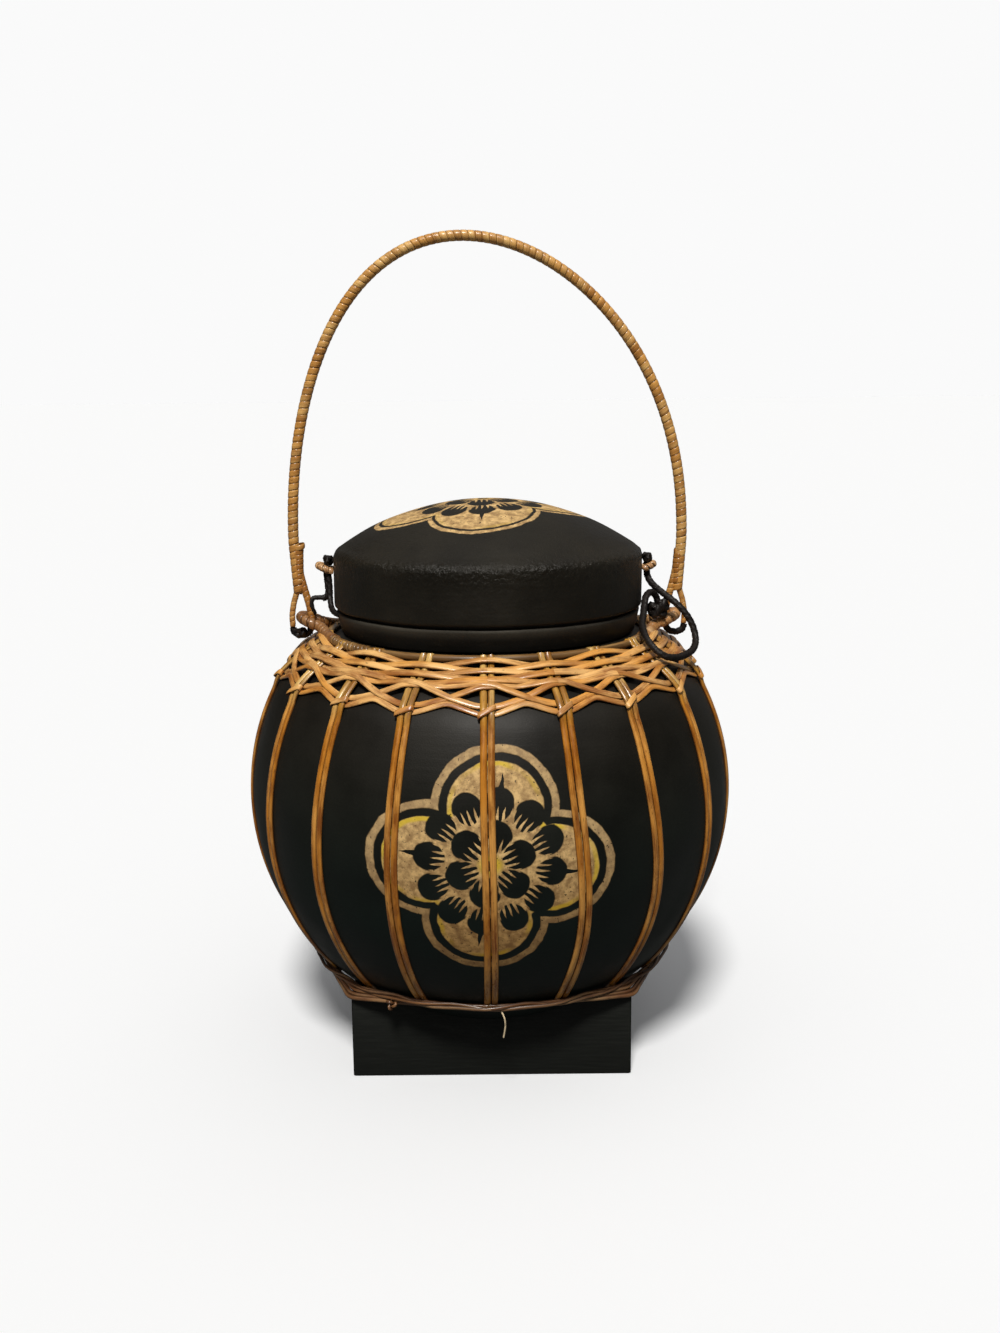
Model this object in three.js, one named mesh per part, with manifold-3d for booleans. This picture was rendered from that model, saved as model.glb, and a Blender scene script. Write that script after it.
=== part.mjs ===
// A lidded rice basket: a black lacquered globe on a square wooden foot, caged in pairs of rattan
// strands that are woven into a collar round the neck. A slip-over lid is tied to the neck by two
// black cords, and a wrapped cane bail hooks into a pair of cane ears.
// Millimetres, +Z up, the front faces -Y, and the origin is on the floor under the globe's axis.
import * as THREE from "three";
import { mergeVertices } from "three/addons/utils/BufferGeometryUtils.js";
import Module from "manifold-3d";

// Clearance between pieces that touch
const fitGap = 0.3;

// Globe
const globeRadius = 117.7;
const globeGroundClearance = 8.3;
const globeWall = 3.5;
const shoulderAngle = THREE.MathUtils.degToRad(26.2);
const shoulderBow = 16;
const mouthOuterRadius = 70.5;
const mouthRise = 79.3;

// Neck ring and the ring that the lid slips over
const neckRingHeight = 10.4;
const neckRingLip = 0.1;
const neckRingFlare = 2.4;
const neckRingBevel = 0.9;
const seatRingWall = 3.2;
const seatRingRebate = 4.3;
const seatRingHeight = 25;
const seatRingStep = 0.7;

// Lid
const lidFit = 0.6;
const lidWall = 3.2;
const lidRimLift = 1.4;
const lidShoulderRise = 4;
const lidShoulderWidth = 4;
const lidDomeRadius = 126;
const lidDomeRise = 31;
const lidDomeWall = 3.5;
const lidLedge = 8.5;

// Square foot
const footWidth = 132;
const footHeight = 41.5;
const boardThickness = 5;

// Rattan cage and collar
const weaveRepeats = 3;
const ribWidth = 6.6;
const ribThickness = 2;
const ribEndHeight = 44.5;
const strandWidth = 3;
const strandThickness = 1.5;
const hoopDiameter = 4.5;
const hoopPlace = 7;
const twineRise = 2.2;
const twineSpacing = 3.4;
const lashingDiameter = 2.6;

// Cane ears on the neck and cane loops on the lid
const earCane = 4.6;
const earHalfWidth = 7.4;
const earLength = 12.9;
const earLean = THREE.MathUtils.degToRad(53.2);
const lidLoopCane = 3.2;
const lidLoopHalfWidth = 3.7;
const lidLoopLengths = { left: 7.4, right: 5.4 };
const lidLoopSlope = THREE.MathUtils.degToRad(21.7);
const lidLoopDrop = 3.2;

// Bail handle
const bailDiameter = 6.3;
const bailBow = 2.5;
const bailSpringRise = 39;
const bailRise = 140.6;
const bailSquareness = 2.1;
const bailLean = -10.8;
const bailLeanGrowth = 2.35;
const legDiameter = 3.3;
const legClearance = 0.6;
const forkRise = 13;

// Cords
const cordDiameter = 3.5;

// Worked out from the sizes above
const ribCount = 6 * weaveRepeats;
const ribPitch = (2 * Math.PI) / ribCount;
const roundSteps = 3 * ribCount;
const ringSteps = 2 * ribCount;
const globeCentreHeight = globeGroundClearance + globeRadius;
const mouthHeight = globeCentreHeight + mouthRise;
const mouthInnerRadius = mouthOuterRadius - globeWall;
const seatRingRadius = mouthOuterRadius + seatRingStep;
const underRib = fitGap;
const ribLift = 2 * fitGap + strandThickness;
const overRib = ribLift + ribThickness + fitGap;

// Every face of a closed geometry is turned to point out of the solid
function faceOut(geometry) {
  const at = geometry.getAttribute("position");
  const index = geometry.index.array;
  const corners = [new THREE.Vector3(), new THREE.Vector3(), new THREE.Vector3()];
  let volume = 0;
  for (let i = 0; i < index.length; i += 3) {
    corners.forEach((corner, k) => corner.fromBufferAttribute(at, index[i + k]));
    volume += corners[0].dot(corners[1].cross(corners[2]));
  }
  if (volume < 0) {
    for (let i = 0; i < index.length; i += 3) {
      [index[i + 1], index[i + 2]] = [index[i + 2], index[i + 1]];
    }
  }
  return geometry;
}

// Position-only geometry with its shared vertices merged
function weld(geometry) {
  const bare = geometry.clone();
  bare.deleteAttribute("normal");
  bare.deleteAttribute("uv");
  return faceOut(mergeVertices(bare, 1e-4));
}

const wasm = await Module();
wasm.setup();

function toManifold(geometry) {
  const welded = weld(geometry);
  return new wasm.Manifold(new wasm.Mesh({
    numProp: 3,
    vertProperties: welded.getAttribute("position").array,
    triVerts: new Uint32Array(welded.index.array),
  }));
}

function fromManifold(manifold) {
  const { vertProperties, triVerts } = manifold.getMesh();
  return new THREE.BufferGeometry()
    .setAttribute("position", new THREE.BufferAttribute(new Float32Array(vertProperties), 3))
    .setIndex(new THREE.BufferAttribute(new Uint32Array(triVerts), 1));
}

const basket = new THREE.Group();

function place(name, geometry, material) {
  const mesh = new THREE.Mesh(geometry, material.clone());
  mesh.name = name;
  basket.add(mesh);
  return mesh;
}

const lacquer = new THREE.MeshStandardMaterial({ color: 0x1d1d1b, roughness: 0.55, metalness: 0 });
const boardPaint = new THREE.MeshStandardMaterial({ color: 0x1a1c1b, roughness: 0.6, metalness: 0 });
const rattan = new THREE.MeshStandardMaterial({ color: 0xb57a3c, roughness: 0.5, metalness: 0 });
const paleRattan = new THREE.MeshStandardMaterial({ color: 0xd3a765, roughness: 0.5, metalness: 0 });
const brownCane = new THREE.MeshStandardMaterial({ color: 0x8f6a3f, roughness: 0.55, metalness: 0 });
const waxedCord = new THREE.MeshStandardMaterial({ color: 0x1e1b1a, roughness: 0.7, metalness: 0 });

// A turned piece: a profile of [radius, height] pairs revolved about the basket's axis
function turned(profile, steps = roundSteps) {
  const points = profile.map(([radius, height]) => new THREE.Vector2(radius, height));
  return weld(new THREE.LatheGeometry(points, steps).rotateX(Math.PI / 2));
}

// Globe outline

const shoulderStart = new THREE.Vector2(
  globeRadius * Math.cos(shoulderAngle),
  globeCentreHeight + globeRadius * Math.sin(shoulderAngle),
);
const shoulderCurve = new THREE.QuadraticBezierCurve(
  new THREE.Vector2(mouthOuterRadius, mouthHeight),
  shoulderStart.clone().add(
    new THREE.Vector2(-Math.sin(shoulderAngle), Math.cos(shoulderAngle)).multiplyScalar(shoulderBow),
  ),
  shoulderStart,
);
const shoulderLength = shoulderCurve.getLength();

// The point `lift` above the globe's surface, `along` millimetres from the mouth down the outline,
// with the surface's outward direction there
function onGlobe(along, lift = 0) {
  let point;
  let out;
  if (along < shoulderLength) {
    const share = along / shoulderLength;
    const run = shoulderCurve.getTangentAt(share);
    point = shoulderCurve.getPointAt(share);
    out = new THREE.Vector2(-run.y, run.x);
  } else {
    const angle = shoulderAngle - (along - shoulderLength) / globeRadius;
    out = new THREE.Vector2(Math.cos(angle), Math.sin(angle));
    point = out.clone().multiplyScalar(globeRadius).add(new THREE.Vector2(0, globeCentreHeight));
  }
  return { point: point.addScaledVector(out, lift), out };
}

function alongAtHeight(height) {
  const angle = Math.asin((height - globeCentreHeight) / globeRadius);
  return shoulderLength + globeRadius * (shoulderAngle - angle);
}

const ribEnd = alongAtHeight(ribEndHeight);
const poleEnd = shoulderLength + globeRadius * (shoulderAngle + Math.PI / 2);

function spread(from, to, steps) {
  return Array.from({ length: steps + 1 }, (_, i) => from + ((to - from) * i) / steps);
}

const shoulderStations = spread(0, shoulderLength, 5);
const globeStations = spread(shoulderLength, ribEnd, 8).slice(1);
const outlineStations = [...shoulderStations, ...globeStations, ...spread(ribEnd, poleEnd, 3).slice(1)];

// The outer skin as [radius, height] pairs from the mouth to the pole underneath
function skin(lift) {
  return outlineStations.map((along) => {
    const { point } = onGlobe(along, lift);
    return [along === poleEnd ? 0 : point.x, point.y];
  });
}

// Globe: a hollow shell with a straight bore at the mouth
const innerStations = [
  ...spread(shoulderLength * 0.2, shoulderLength, 2),
  ...spread(shoulderLength, poleEnd, 6).slice(1),
];
const innerSkin = innerStations.map((along) => {
  const { point } = onGlobe(along, -globeWall);
  return [along === poleEnd ? 0 : point.x, point.y];
});
place("body_shell", turned([
  ...innerSkin.toReversed(),
  [mouthInnerRadius, innerSkin[0][1] + globeWall * 0.3],
  [mouthInnerRadius, mouthHeight],
  ...skin(0),
]), lacquer);

// Neck ring: a flared hoop on the mouth, rebated for the ring that the lid slips over
const neckBase = mouthHeight + fitGap;
const neckTop = neckBase + neckRingHeight;
const rebateFloor = neckTop - seatRingRebate;
const rebateRadius = seatRingRadius + fitGap;
const neckBaseRadius = rebateRadius + neckRingLip;
place("neck_ring", turned([
  [mouthInnerRadius, neckBase],
  [neckBaseRadius, neckBase],
  [neckBaseRadius + neckRingFlare, neckTop - neckRingBevel],
  [neckBaseRadius + neckRingFlare - neckRingBevel, neckTop],
  [rebateRadius, neckTop],
  [rebateRadius, rebateFloor],
  [mouthInnerRadius, rebateFloor],
  [mouthInnerRadius, neckBase],
], ringSteps), lacquer);

// Seat ring: stands in the neck ring's rebate and guides the lid
const seatBase = rebateFloor + fitGap;
const seatTop = seatBase + seatRingHeight;
const seatLead = 1;
place("seat_ring", turned([
  [seatRingRadius - seatRingWall, seatBase],
  [seatRingRadius, seatBase],
  [seatRingRadius, seatTop - seatLead],
  [seatRingRadius - seatLead, seatTop],
  [seatRingRadius - seatRingWall, seatTop],
  [seatRingRadius - seatRingWall, seatBase],
], ringSteps), lacquer);

// Lid: a bent skirt that slips over the seat ring, and a domed top that rests on it
const skirtInner = seatRingRadius + lidFit;
const lidRadius = skirtInner + lidWall;
const lidRim = neckTop + lidRimLift;
place("lid_skirt", turned([
  [skirtInner + 0.8, lidRim],
  [lidRadius - 0.8, lidRim],
  [lidRadius, lidRim + 0.8],
  [lidRadius, seatTop],
  [skirtInner, seatTop],
  [skirtInner, lidRim + 0.8],
  [skirtInner + 0.8, lidRim],
], ringSteps), lacquer);

const domeBase = seatTop + fitGap;
const domeTop = domeBase + lidDomeRise;
const domeEdge = lidRadius - lidShoulderWidth;
const ledgeRadius = lidRadius - lidLedge;

function domeHeight(radius, wall = 0) {
  return domeTop - lidDomeRadius + Math.sqrt((lidDomeRadius - wall) ** 2 - radius ** 2);
}

const domeEdgeSlope = domeEdge / Math.sqrt(lidDomeRadius ** 2 - domeEdge ** 2);
const shoulderRound = new THREE.QuadraticBezierCurve(
  new THREE.Vector2(lidRadius, domeBase + lidShoulderRise),
  new THREE.Vector2(lidRadius, domeHeight(domeEdge) - domeEdgeSlope * lidShoulderWidth),
  new THREE.Vector2(domeEdge, domeHeight(domeEdge)),
);
place("lid_dome", turned([
  [0, domeHeight(0, lidDomeWall)],
  ...[0.4, 0.75, 1].map((share) => [ledgeRadius * share, domeHeight(ledgeRadius * share, lidDomeWall)]),
  [ledgeRadius, domeBase],
  [lidRadius, domeBase],
  ...shoulderRound.getPoints(3).map((point) => [point.x, point.y]),
  ...[0.76, 0.5, 0.25].map((share) => [domeEdge * share, domeHeight(domeEdge * share)]),
  [0, domeTop],
], ringSteps), lacquer);

// Foot: four mitred boards, their top edges hollowed to cradle the globe
const cradle = toManifold(turned([
  [0, mouthHeight + fitGap],
  ...skin(fitGap),
]));
const halfFoot = footWidth / 2;
const mitreGap = fitGap / Math.SQRT2;
const boardPlan = new THREE.Shape([
  new THREE.Vector2(mitreGap - halfFoot, -halfFoot),
  new THREE.Vector2(halfFoot - mitreGap, -halfFoot),
  new THREE.Vector2(halfFoot - boardThickness - mitreGap, boardThickness - halfFoot),
  new THREE.Vector2(mitreGap + boardThickness - halfFoot, boardThickness - halfFoot),
]);
const boardBlank = new THREE.ExtrudeGeometry(boardPlan, { depth: footHeight, bevelEnabled: false });
["front", "right", "back", "left"].forEach((side, turn) => {
  const blank = toManifold(boardBlank.clone().rotateZ((turn * Math.PI) / 2));
  place(`foot_board_${side}`, fromManifold(blank.subtract(cradle)), boardPaint);
});

// Sections of the canes, as [across, out] pairs from the middle of the side that faces the globe

function halfCane(width, thickness) {
  return [
    [-width / 2, 0],
    [width / 2, 0],
    [width * 0.26, thickness],
    [-width * 0.26, thickness],
  ];
}

function canePair(width, thickness) {
  return [
    [-width / 2, 0],
    [width / 2, 0],
    [width * 0.3, thickness],
    [0, thickness * 0.55],
    [-width * 0.3, thickness],
  ];
}

function roundCane(diameter, sides) {
  return spread(0, 2 * Math.PI, sides).slice(0, sides)
    .map((angle) => [Math.sin(angle) * diameter / 2, -Math.cos(angle) * diameter / 2]);
}

// A section carried along a run of points. outAt gives the way that the section's out side faces,
// and without it the section is carried on with no twist.
function sweep(points, section, { closed = false, outAt = null, firstOut = null } = {}) {
  const count = points.length;
  const wrap = (i) => (closed ? (i + count) % count : THREE.MathUtils.clamp(i, 0, count - 1));
  let out = firstOut ?? new THREE.Vector3(0, -1, 0);
  const corners = [];
  points.forEach((point, i) => {
    const ahead = points[wrap(i + 1)].clone().sub(points[wrap(i - 1)]).normalize();
    const side = new THREE.Vector3().crossVectors(ahead, outAt ? outAt(i) : out).normalize();
    out = new THREE.Vector3().crossVectors(side, ahead);
    section.forEach(([across, lift]) => {
      const corner = point.clone().addScaledVector(side, across).addScaledVector(out, lift);
      corners.push(corner.x, corner.y, corner.z);
    });
  });
  const sides = section.length;
  const index = [];
  for (let i = 0; i < (closed ? count : count - 1); i++) {
    for (let j = 0; j < sides; j++) {
      const a = i * sides + j;
      const b = i * sides + ((j + 1) % sides);
      const c = wrap(i + 1) * sides + j;
      const d = wrap(i + 1) * sides + ((j + 1) % sides);
      index.push(a, b, c, b, d, c);
    }
  }
  if (!closed) {
    const face = section.map(([across, lift]) => new THREE.Vector2(across, lift));
    const last = (count - 1) * sides;
    THREE.ShapeUtils.triangulateShape(face, []).forEach(([a, b, c]) => {
      const near = THREE.ShapeUtils.isClockWise(face) ? [a, b, c] : [a, c, b];
      index.push(...near);
      index.push(...near.toReversed().map((corner) => last + corner));
    });
  }
  const geometry = new THREE.BufferGeometry();
  geometry.setAttribute("position", new THREE.Float32BufferAttribute(corners, 3));
  geometry.setIndex(index);
  return faceOut(geometry);
}

// A point or direction in the [radius, height] half-plane at `azimuth` round from the front
function turnedTo(azimuth, { x, y }) {
  return new THREE.Vector3(x * Math.sin(azimuth), -x * Math.cos(azimuth), y);
}

// Rattan ribs: pairs of half-round strands that run from the top hoop down the globe

const hoop = onGlobe(hoopPlace, fitGap + hoopDiameter / 2);
const hookSteps = [150, 110, 70, 30, -10].map(THREE.MathUtils.degToRad);
const hookRadius = (hoopDiameter / 2 + fitGap) / Math.cos((hookSteps[0] - hookSteps[1]) / 2);
const collarRowsDown = [4.7, 7, 9.7, 12.2];
const collarEnd = 12.2 * strandWidth;
const liftEnd = 15 * strandWidth;

function ribLiftAt(along) {
  return fitGap + (ribLift - fitGap) * (1 - THREE.MathUtils.smoothstep(along, collarEnd, liftEnd));
}

// The hook that each rib's top end makes over the hoop
const ribHook = hookSteps.map((angle) => {
  const out = new THREE.Vector2(Math.cos(angle), Math.sin(angle));
  return { point: hoop.point.clone().addScaledVector(out, hookRadius), out };
});
const ribRun = [
  ...ribHook,
  ...collarRowsDown.map((row) => onGlobe(row * strandWidth, ribLift)),
  ...[(collarEnd + shoulderLength) / 2, shoulderLength, ...globeStations]
    .map((along) => onGlobe(along, ribLiftAt(along))),
];
const ribSection = canePair(ribWidth, ribThickness);
for (let rib = 0; rib < ribCount; rib++) {
  const azimuth = rib * ribPitch;
  const geometry = sweep(
    ribRun.map(({ point }) => turnedTo(azimuth, point)),
    ribSection,
    { outAt: (i) => turnedTo(azimuth, ribRun[i].out) },
  );
  place(`rib_${String(rib + 1).padStart(2, "0")}`, geometry, rattan);
}

// Woven strands that go round the globe. A route lists [turn, row, lift] for one repeat of the
// weave: the turn in rib pitches from a rib, the place in strand widths down from the mouth, and
// the lift in strand thicknesses.
function woven(route, repeat, section, shift = 0) {
  const points = [];
  const outs = [];
  for (let start = 0; start < ribCount; start += repeat) {
    route.forEach(([turn, row, lift]) => {
      const azimuth = (start + turn + shift) * ribPitch;
      const { point, out } = onGlobe(row * strandWidth, lift * strandThickness);
      points.push(turnedTo(azimuth, point));
      outs.push(turnedTo(azimuth, out));
    });
  }
  return sweep(points, section, { closed: true, outAt: (i) => outs[i] });
}

const ribEdge = 0.125;
const strandSection = halfCane(strandWidth, strandThickness);

// Lifts that take a strand just under or just over a rib
const under = underRib / strandThickness;
const over = overRib / strandThickness;

// The top hoop, which the ears grow from
const hoopRow = hoopPlace / strandWidth;
const hoopLift = (hoopDiameter / 2 + fitGap) / strandThickness;
const hoopRoute = [0, 1, 2].map((third) => [third / 3, hoopRow, hoopLift]);
place("collar_hoop", woven(hoopRoute, 1, roundCane(hoopDiameter, 6)), brownCane);

// Five strands go round above the border in a plain weave. Each passes over one rib and under the
// next, and its neighbours do the same a rib later. The first also clears the hooks of the ribs.
const firstRowLift = over + 0.73;
const rowLiftBetween = 1.5;
const rowDrift = 0.1;
const collarRows = [4.3, 5.28, 6.26, 7.24, 8.22];
collarRows.forEach((row, index) => {
  const overLift = index === 0 ? firstRowLift : over;
  const route = [
    [-ribEdge, row - rowDrift, overLift], [ribEdge, row - rowDrift, overLift],
    [0.5, row, rowLiftBetween],
    [1 - ribEdge, row + rowDrift, under], [1 + ribEdge, row + rowDrift, under],
    [1.5, row, rowLiftBetween],
  ];
  place(`collar_row_${index + 1}`, woven(route, 2, strandSection, index % 2), paleRattan);
});

// The open border: three strands with one route, a rib apart. Each goes over a rib and down, under
// the next one, up over the third, and back to where it started.
const borderRoute = [
  [-ribEdge, 9.43, over], [ribEdge, 9.47, over + 0.07], [0.3, 9.67, 2.6],
  [0.5, 10.4, 0.8], [0.7, 11.07, 0.27],
  [1 - ribEdge, 11.2, under], [1 + ribEdge, 11.27, under], [1.3, 11.33, 0.33],
  [1.5, 11.15, 2.07], [1.7, 10.83, 2.8],
  [2 - ribEdge, 10.7, over], [2 + ribEdge, 10.67, over], [2.3, 9.9, 0.47],
  [2.5, 9.25, 0.3], [2.7, 9.3, 1.2],
];
for (let strand = 0; strand < 3; strand++) {
  place(`collar_border_${strand + 1}`, woven(borderRoute, 3, strandSection, strand), paleRattan);
}

// The binder ties each rib pair down under the border
const binderRoute = [[-ribEdge, 13, 2.73], [ribEdge, 13, 2.73], [0.5, 12.13, 1.4]];
place("collar_binder", woven(binderRoute, 1, strandSection), paleRattan);

// Two strands twined round the rib ends above the foot
const twineLower = alongAtHeight(ribEndHeight + twineRise) / strandWidth;
const twineUpper = alongAtHeight(ribEndHeight + twineRise + twineSpacing) / strandWidth;
const twineMiddle = (twineUpper + twineLower) / 2;
const overEnd = (2 * fitGap + ribThickness) / strandThickness;
const twineRoute = [
  [-ribEdge, twineLower, overEnd], [ribEdge, twineLower, overEnd], [0.5, twineMiddle, 0.27],
  [1 - ribEdge, twineUpper, overEnd + 0.33], [1 + ribEdge, twineUpper, overEnd + 0.33],
  [1.5, twineMiddle, 2.8],
];
place("foot_twine_1", woven(twineRoute, 2, strandSection), rattan);
place("foot_twine_2", woven(twineRoute, 2, strandSection, 1), rattan);

// Foot lashing: a strand that lies under the ends of the ribs and is pulled taut round the foot's
// four corners. Each corner draws it off the globe along two tangents.
const lashingRest = lashingDiameter / 2 + fitGap;
const underRibEnd = onGlobe(alongAtHeight(ribEndHeight) + lashingRest, lashingRest + fitGap).point;
const cornerRadius = footWidth / Math.SQRT2 + lashingRest;
const cornerHeight = footHeight - lashingDiameter / 2 + fitGap;
const cornerReach = Math.acos(underRibEnd.x / cornerRadius);
const lashingPoints = spread(0, 2 * Math.PI, 48).slice(0, 48).map((azimuth) => {
  const fromCorner = Math.abs(((azimuth / (Math.PI / 2)) % 1) - 0.5) * (Math.PI / 2);
  const pull = Math.max(0, cornerReach - fromCorner);
  const height = THREE.MathUtils.lerp(underRibEnd.y, cornerHeight, pull / cornerReach);
  return turnedTo(azimuth, { x: underRibEnd.x / Math.cos(pull), y: height });
});
place("foot_lashing", sweep(lashingPoints, roundCane(lashingDiameter, 6), {
  closed: true,
  outAt: () => new THREE.Vector3(0, 0, 1),
}), rattan);

// A cane bent into a U whose plane rises away from the basket. side is -1 on the left.
function caneLoop(side, root, slope, halfWidth, length, diameter, sides) {
  const ahead = new THREE.Vector3(side * Math.cos(slope), 0, Math.sin(slope));
  const bend = spread(-90, 90, 8).map((degrees) => {
    const angle = THREE.MathUtils.degToRad(degrees);
    return [length - halfWidth * (1 - Math.cos(angle)), halfWidth * Math.sin(angle)];
  });
  const points = [[0, -halfWidth], ...bend, [0, halfWidth]].map(([reach, across]) => (
    root.clone().addScaledVector(ahead, reach).add(new THREE.Vector3(0, across, 0))
  ));
  const up = new THREE.Vector3(-side * Math.sin(slope), 0, Math.cos(slope));
  return sweep(points, roundCane(diameter, sides), { outAt: () => up });
}

// Ears: wrapped cane loops that grow out of the top hoop, leaning away from the shoulder under them
const earFoot = onGlobe(hoopPlace).point;
const underEarTip = onGlobe(hoopPlace + 1.4 * earLength).point;
const shoulderDip = Math.atan2(earFoot.y - underEarTip.y, underEarTip.x - earFoot.x);
const earSlope = earLean - shoulderDip;
const earRootReach = hookRadius * Math.cos(earSlope) - Math.sin(earSlope);
const earRootRise = hookRadius * Math.sin(earSlope) + Math.cos(earSlope);
const earRootX = hoop.point.x + earRootReach;
const earRootZ = hoop.point.y + earRootRise;
const pivotX = earRootX + earLength * Math.cos(earSlope);
const pivotZ = earRootZ + earLength * Math.sin(earSlope);
const sides = { left: -1, right: 1 };
Object.entries(sides).forEach(([name, side]) => {
  const root = new THREE.Vector3(side * earRootX, 0, earRootZ);
  place(`ear_${name}`, caneLoop(side, root, earSlope, earHalfWidth, earLength, earCane, 8), brownCane);
});

// Lid loops: smaller cane loops in the lid's skirt, which the cords are tied to
const lidLoopX = lidRadius + fitGap + (Math.sin(lidLoopSlope) * lidLoopCane) / 2;
const lidLoopZ = seatTop - lidLoopDrop;
Object.entries(sides).forEach(([name, side]) => {
  const root = new THREE.Vector3(side * lidLoopX, 0, lidLoopZ);
  const loop = caneLoop(side, root, lidLoopSlope, lidLoopHalfWidth, lidLoopLengths[name], lidLoopCane, 6);
  place(`lid_loop_${name}`, loop, paleRattan);
});

// Bail: a bent cane whose ends fork round the ears. The arch is a squared ellipse that leans left.
const legOffset = (earCane + legDiameter) / 2 + legClearance;
const forkZ = pivotZ + forkRise;
const forkEnd = pivotZ - 5;
const springZ = pivotZ + bailSpringRise;

function bailPoint(angle) {
  const rise = Math.sin(angle) ** (2 / bailSquareness);
  const halfSpan = (pivotX + bailBow) * Math.cos(angle);
  const lean = bailLean * rise ** bailLeanGrowth;
  return new THREE.Vector3(lean - halfSpan, 0, springZ + bailRise * rise);
}

const bailCurve = new THREE.CatmullRomCurve3([
  new THREE.Vector3(-pivotX - 0.8, 0, forkZ - 1),
  new THREE.Vector3(-pivotX - 1.8, 0, (forkZ + springZ) / 2),
  ...spread(0, Math.PI, 16).map(bailPoint),
  new THREE.Vector3(pivotX + 1.8, 0, (forkZ + springZ) / 2),
  new THREE.Vector3(pivotX + 0.8, 0, forkZ - 1),
]);
const bailShaft = sweep(bailCurve.getSpacedPoints(52), roundCane(bailDiameter, 8));

// The legs of the two forks: each runs up beside the shaft, which is bound over it
const kneeRise = 6;
const kneeIn = 0.9;
const crotchRise = forkRise + 1;
const crotchIn = 3;

function forkLeg(side, inward) {
  const x = pivotX - inward * legOffset;
  const points = [
    [x + inward * 0.2, forkEnd],
    [x, pivotZ],
    [x + inward * kneeIn, pivotZ + kneeRise],
    [x + inward * crotchIn, pivotZ + crotchRise],
    [pivotX + 1 - inward * 1.1, forkZ + 9],
    [pivotX + 1.6 - inward * 0.8, forkZ + 19],
  ].map(([reach, height]) => new THREE.Vector3(side * reach, 0, height));
  return toManifold(sweep(points, roundCane(legDiameter, 8)));
}

const bail = Object.values(sides).reduce(
  (solid, side) => solid.add(forkLeg(side, 1)).add(forkLeg(side, -1)),
  toManifold(bailShaft),
);
place("bail_handle", fromManifold(bail), rattan);

// Ties: cord that closes each fork under its ear
Object.entries(sides).forEach(([name, side]) => {
  const top = forkEnd - 2 * fitGap;
  const reach = legOffset - 0.2;
  const bend = spread(-90, 90, 6).map((degrees) => {
    const angle = THREE.MathUtils.degToRad(degrees);
    return [reach * Math.sin(angle), top - 0.8 - (reach - 1.4) * Math.cos(angle)];
  });
  const points = [[-reach, top], ...bend, [reach, top]].map(([across, height]) => (
    new THREE.Vector3(side * (pivotX + across), 0, height)
  ));
  place(`bail_tie_${name}`, sweep(points, roundCane(cordDiameter, 8)), waxedCord);
});

// Knots: the cord's lashings on the lid loops and on the right ear
function knot(centre, radii) {
  return weld(new THREE.SphereGeometry(1, 10, 6).scale(...radii).translate(...centre));
}

const lidKnot = [2.6, 4.6, 2.2];
const lidKnotReach = lidLoopX + 2.1;
const lidKnotZ = lidLoopZ + 2.1 * Math.tan(lidLoopSlope)
  + lidLoopCane / 2 / Math.cos(lidLoopSlope) + fitGap + lidKnot[2];
place("lid_knot_left", knot([-lidKnotReach, 0, lidKnotZ], lidKnot), waxedCord);
place("lid_knot_right", knot([lidKnotReach, 0, lidKnotZ], lidKnot), waxedCord);
const earKnot = [2.6, 2.6, 2.6];
const earKnotZ = earRootZ + 2 * Math.tan(earSlope)
  + earCane / 2 / Math.cos(earSlope) + 2 * fitGap + earKnot[2];
place("ear_knot_right", knot([earRootX + 2, -earHalfWidth, earKnotZ], earKnot), waxedCord);

// Cords, along routes chosen by hand
function cord(points, steps) {
  const corners = points.map((point) => new THREE.Vector3(...point));
  const route = new THREE.CatmullRomCurve3(corners, false, "centripetal");
  return sweep(route.getSpacedPoints(steps), roundCane(cordDiameter, 8));
}

// Left tie: down from the lid loop and out to the bail's inner leg, in two pieces so that its outer
// end goes with the bail
const tieX = lidLoopX + 3;
const tieZ = lidLoopZ + 2.4;
place("lid_tie_left", cord([
  [-tieX, 0, tieZ],
  [0.2 - tieX, 0, tieZ - 4.2],
  [0.1 - tieX, -0.2, tieZ - 8.6],
  [-tieX - 1, -0.4, tieZ - 12.1],
  [-tieX - 3, -0.5, tieZ - 14.3],
], 6), waxedCord);
const legTieZ = tieZ - 16.7;
const aboveKnee = (legTieZ - pivotZ - kneeRise) / (crotchRise - kneeRise);
const legTieReach = THREE.MathUtils.lerp(kneeIn, crotchIn, THREE.MathUtils.clamp(aboveKnee, 0, 1));
const legTieEnd = pivotX - legOffset + legTieReach - legDiameter / 2 - 2 * fitGap;
place("leg_tie_left", cord([
  [-tieX - 3.4, -0.5, tieZ - 14.7],
  [-tieX - 5.4, -0.5, tieZ - 16.1],
  [-legTieEnd, -0.5, legTieZ],
], 3), waxedCord);

// Right cord: slack, down over the collar's shoulder and back up to the ear
place("lid_cord_right", cord([
  [77.9, 0, 231],
  [79.2, -3.2, 227.6],
  [82.3, -7.6, 224.5],
  [86.3, -11.7, 221.6],
  [90.3, -14.2, 218.6],
  [93.8, -15.4, 215.2],
  [96.6, -15.9, 211.4],
  [98.6, -16.4, 207.4],
  [99.6, -17.6, 203.6],
  [99.4, -21, 200.4],
  [97.2, -28, 198.2],
  [92.6, -37.6, 197.6],
  [87, -46.8, 198],
  [81.4, -51.8, 199.6],
  [77.4, -51.8, 202.2],
  [74.2, -48.2, 205.4],
  [72.6, -42.4, 208.5],
  [72.3, -34.5, 211.6],
  [73.6, -27, 215],
  [74.6, -21.3, 218.8],
  [75.9, -16.6, 222.2],
  [78.6, -12.4, 223.5],
  [81.2, -9.2, 221.6],
  [82.2, -7.6, 218.2],
  [82.2, -7.4, 216.3],
], 34), waxedCord);

export default basket;
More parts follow.
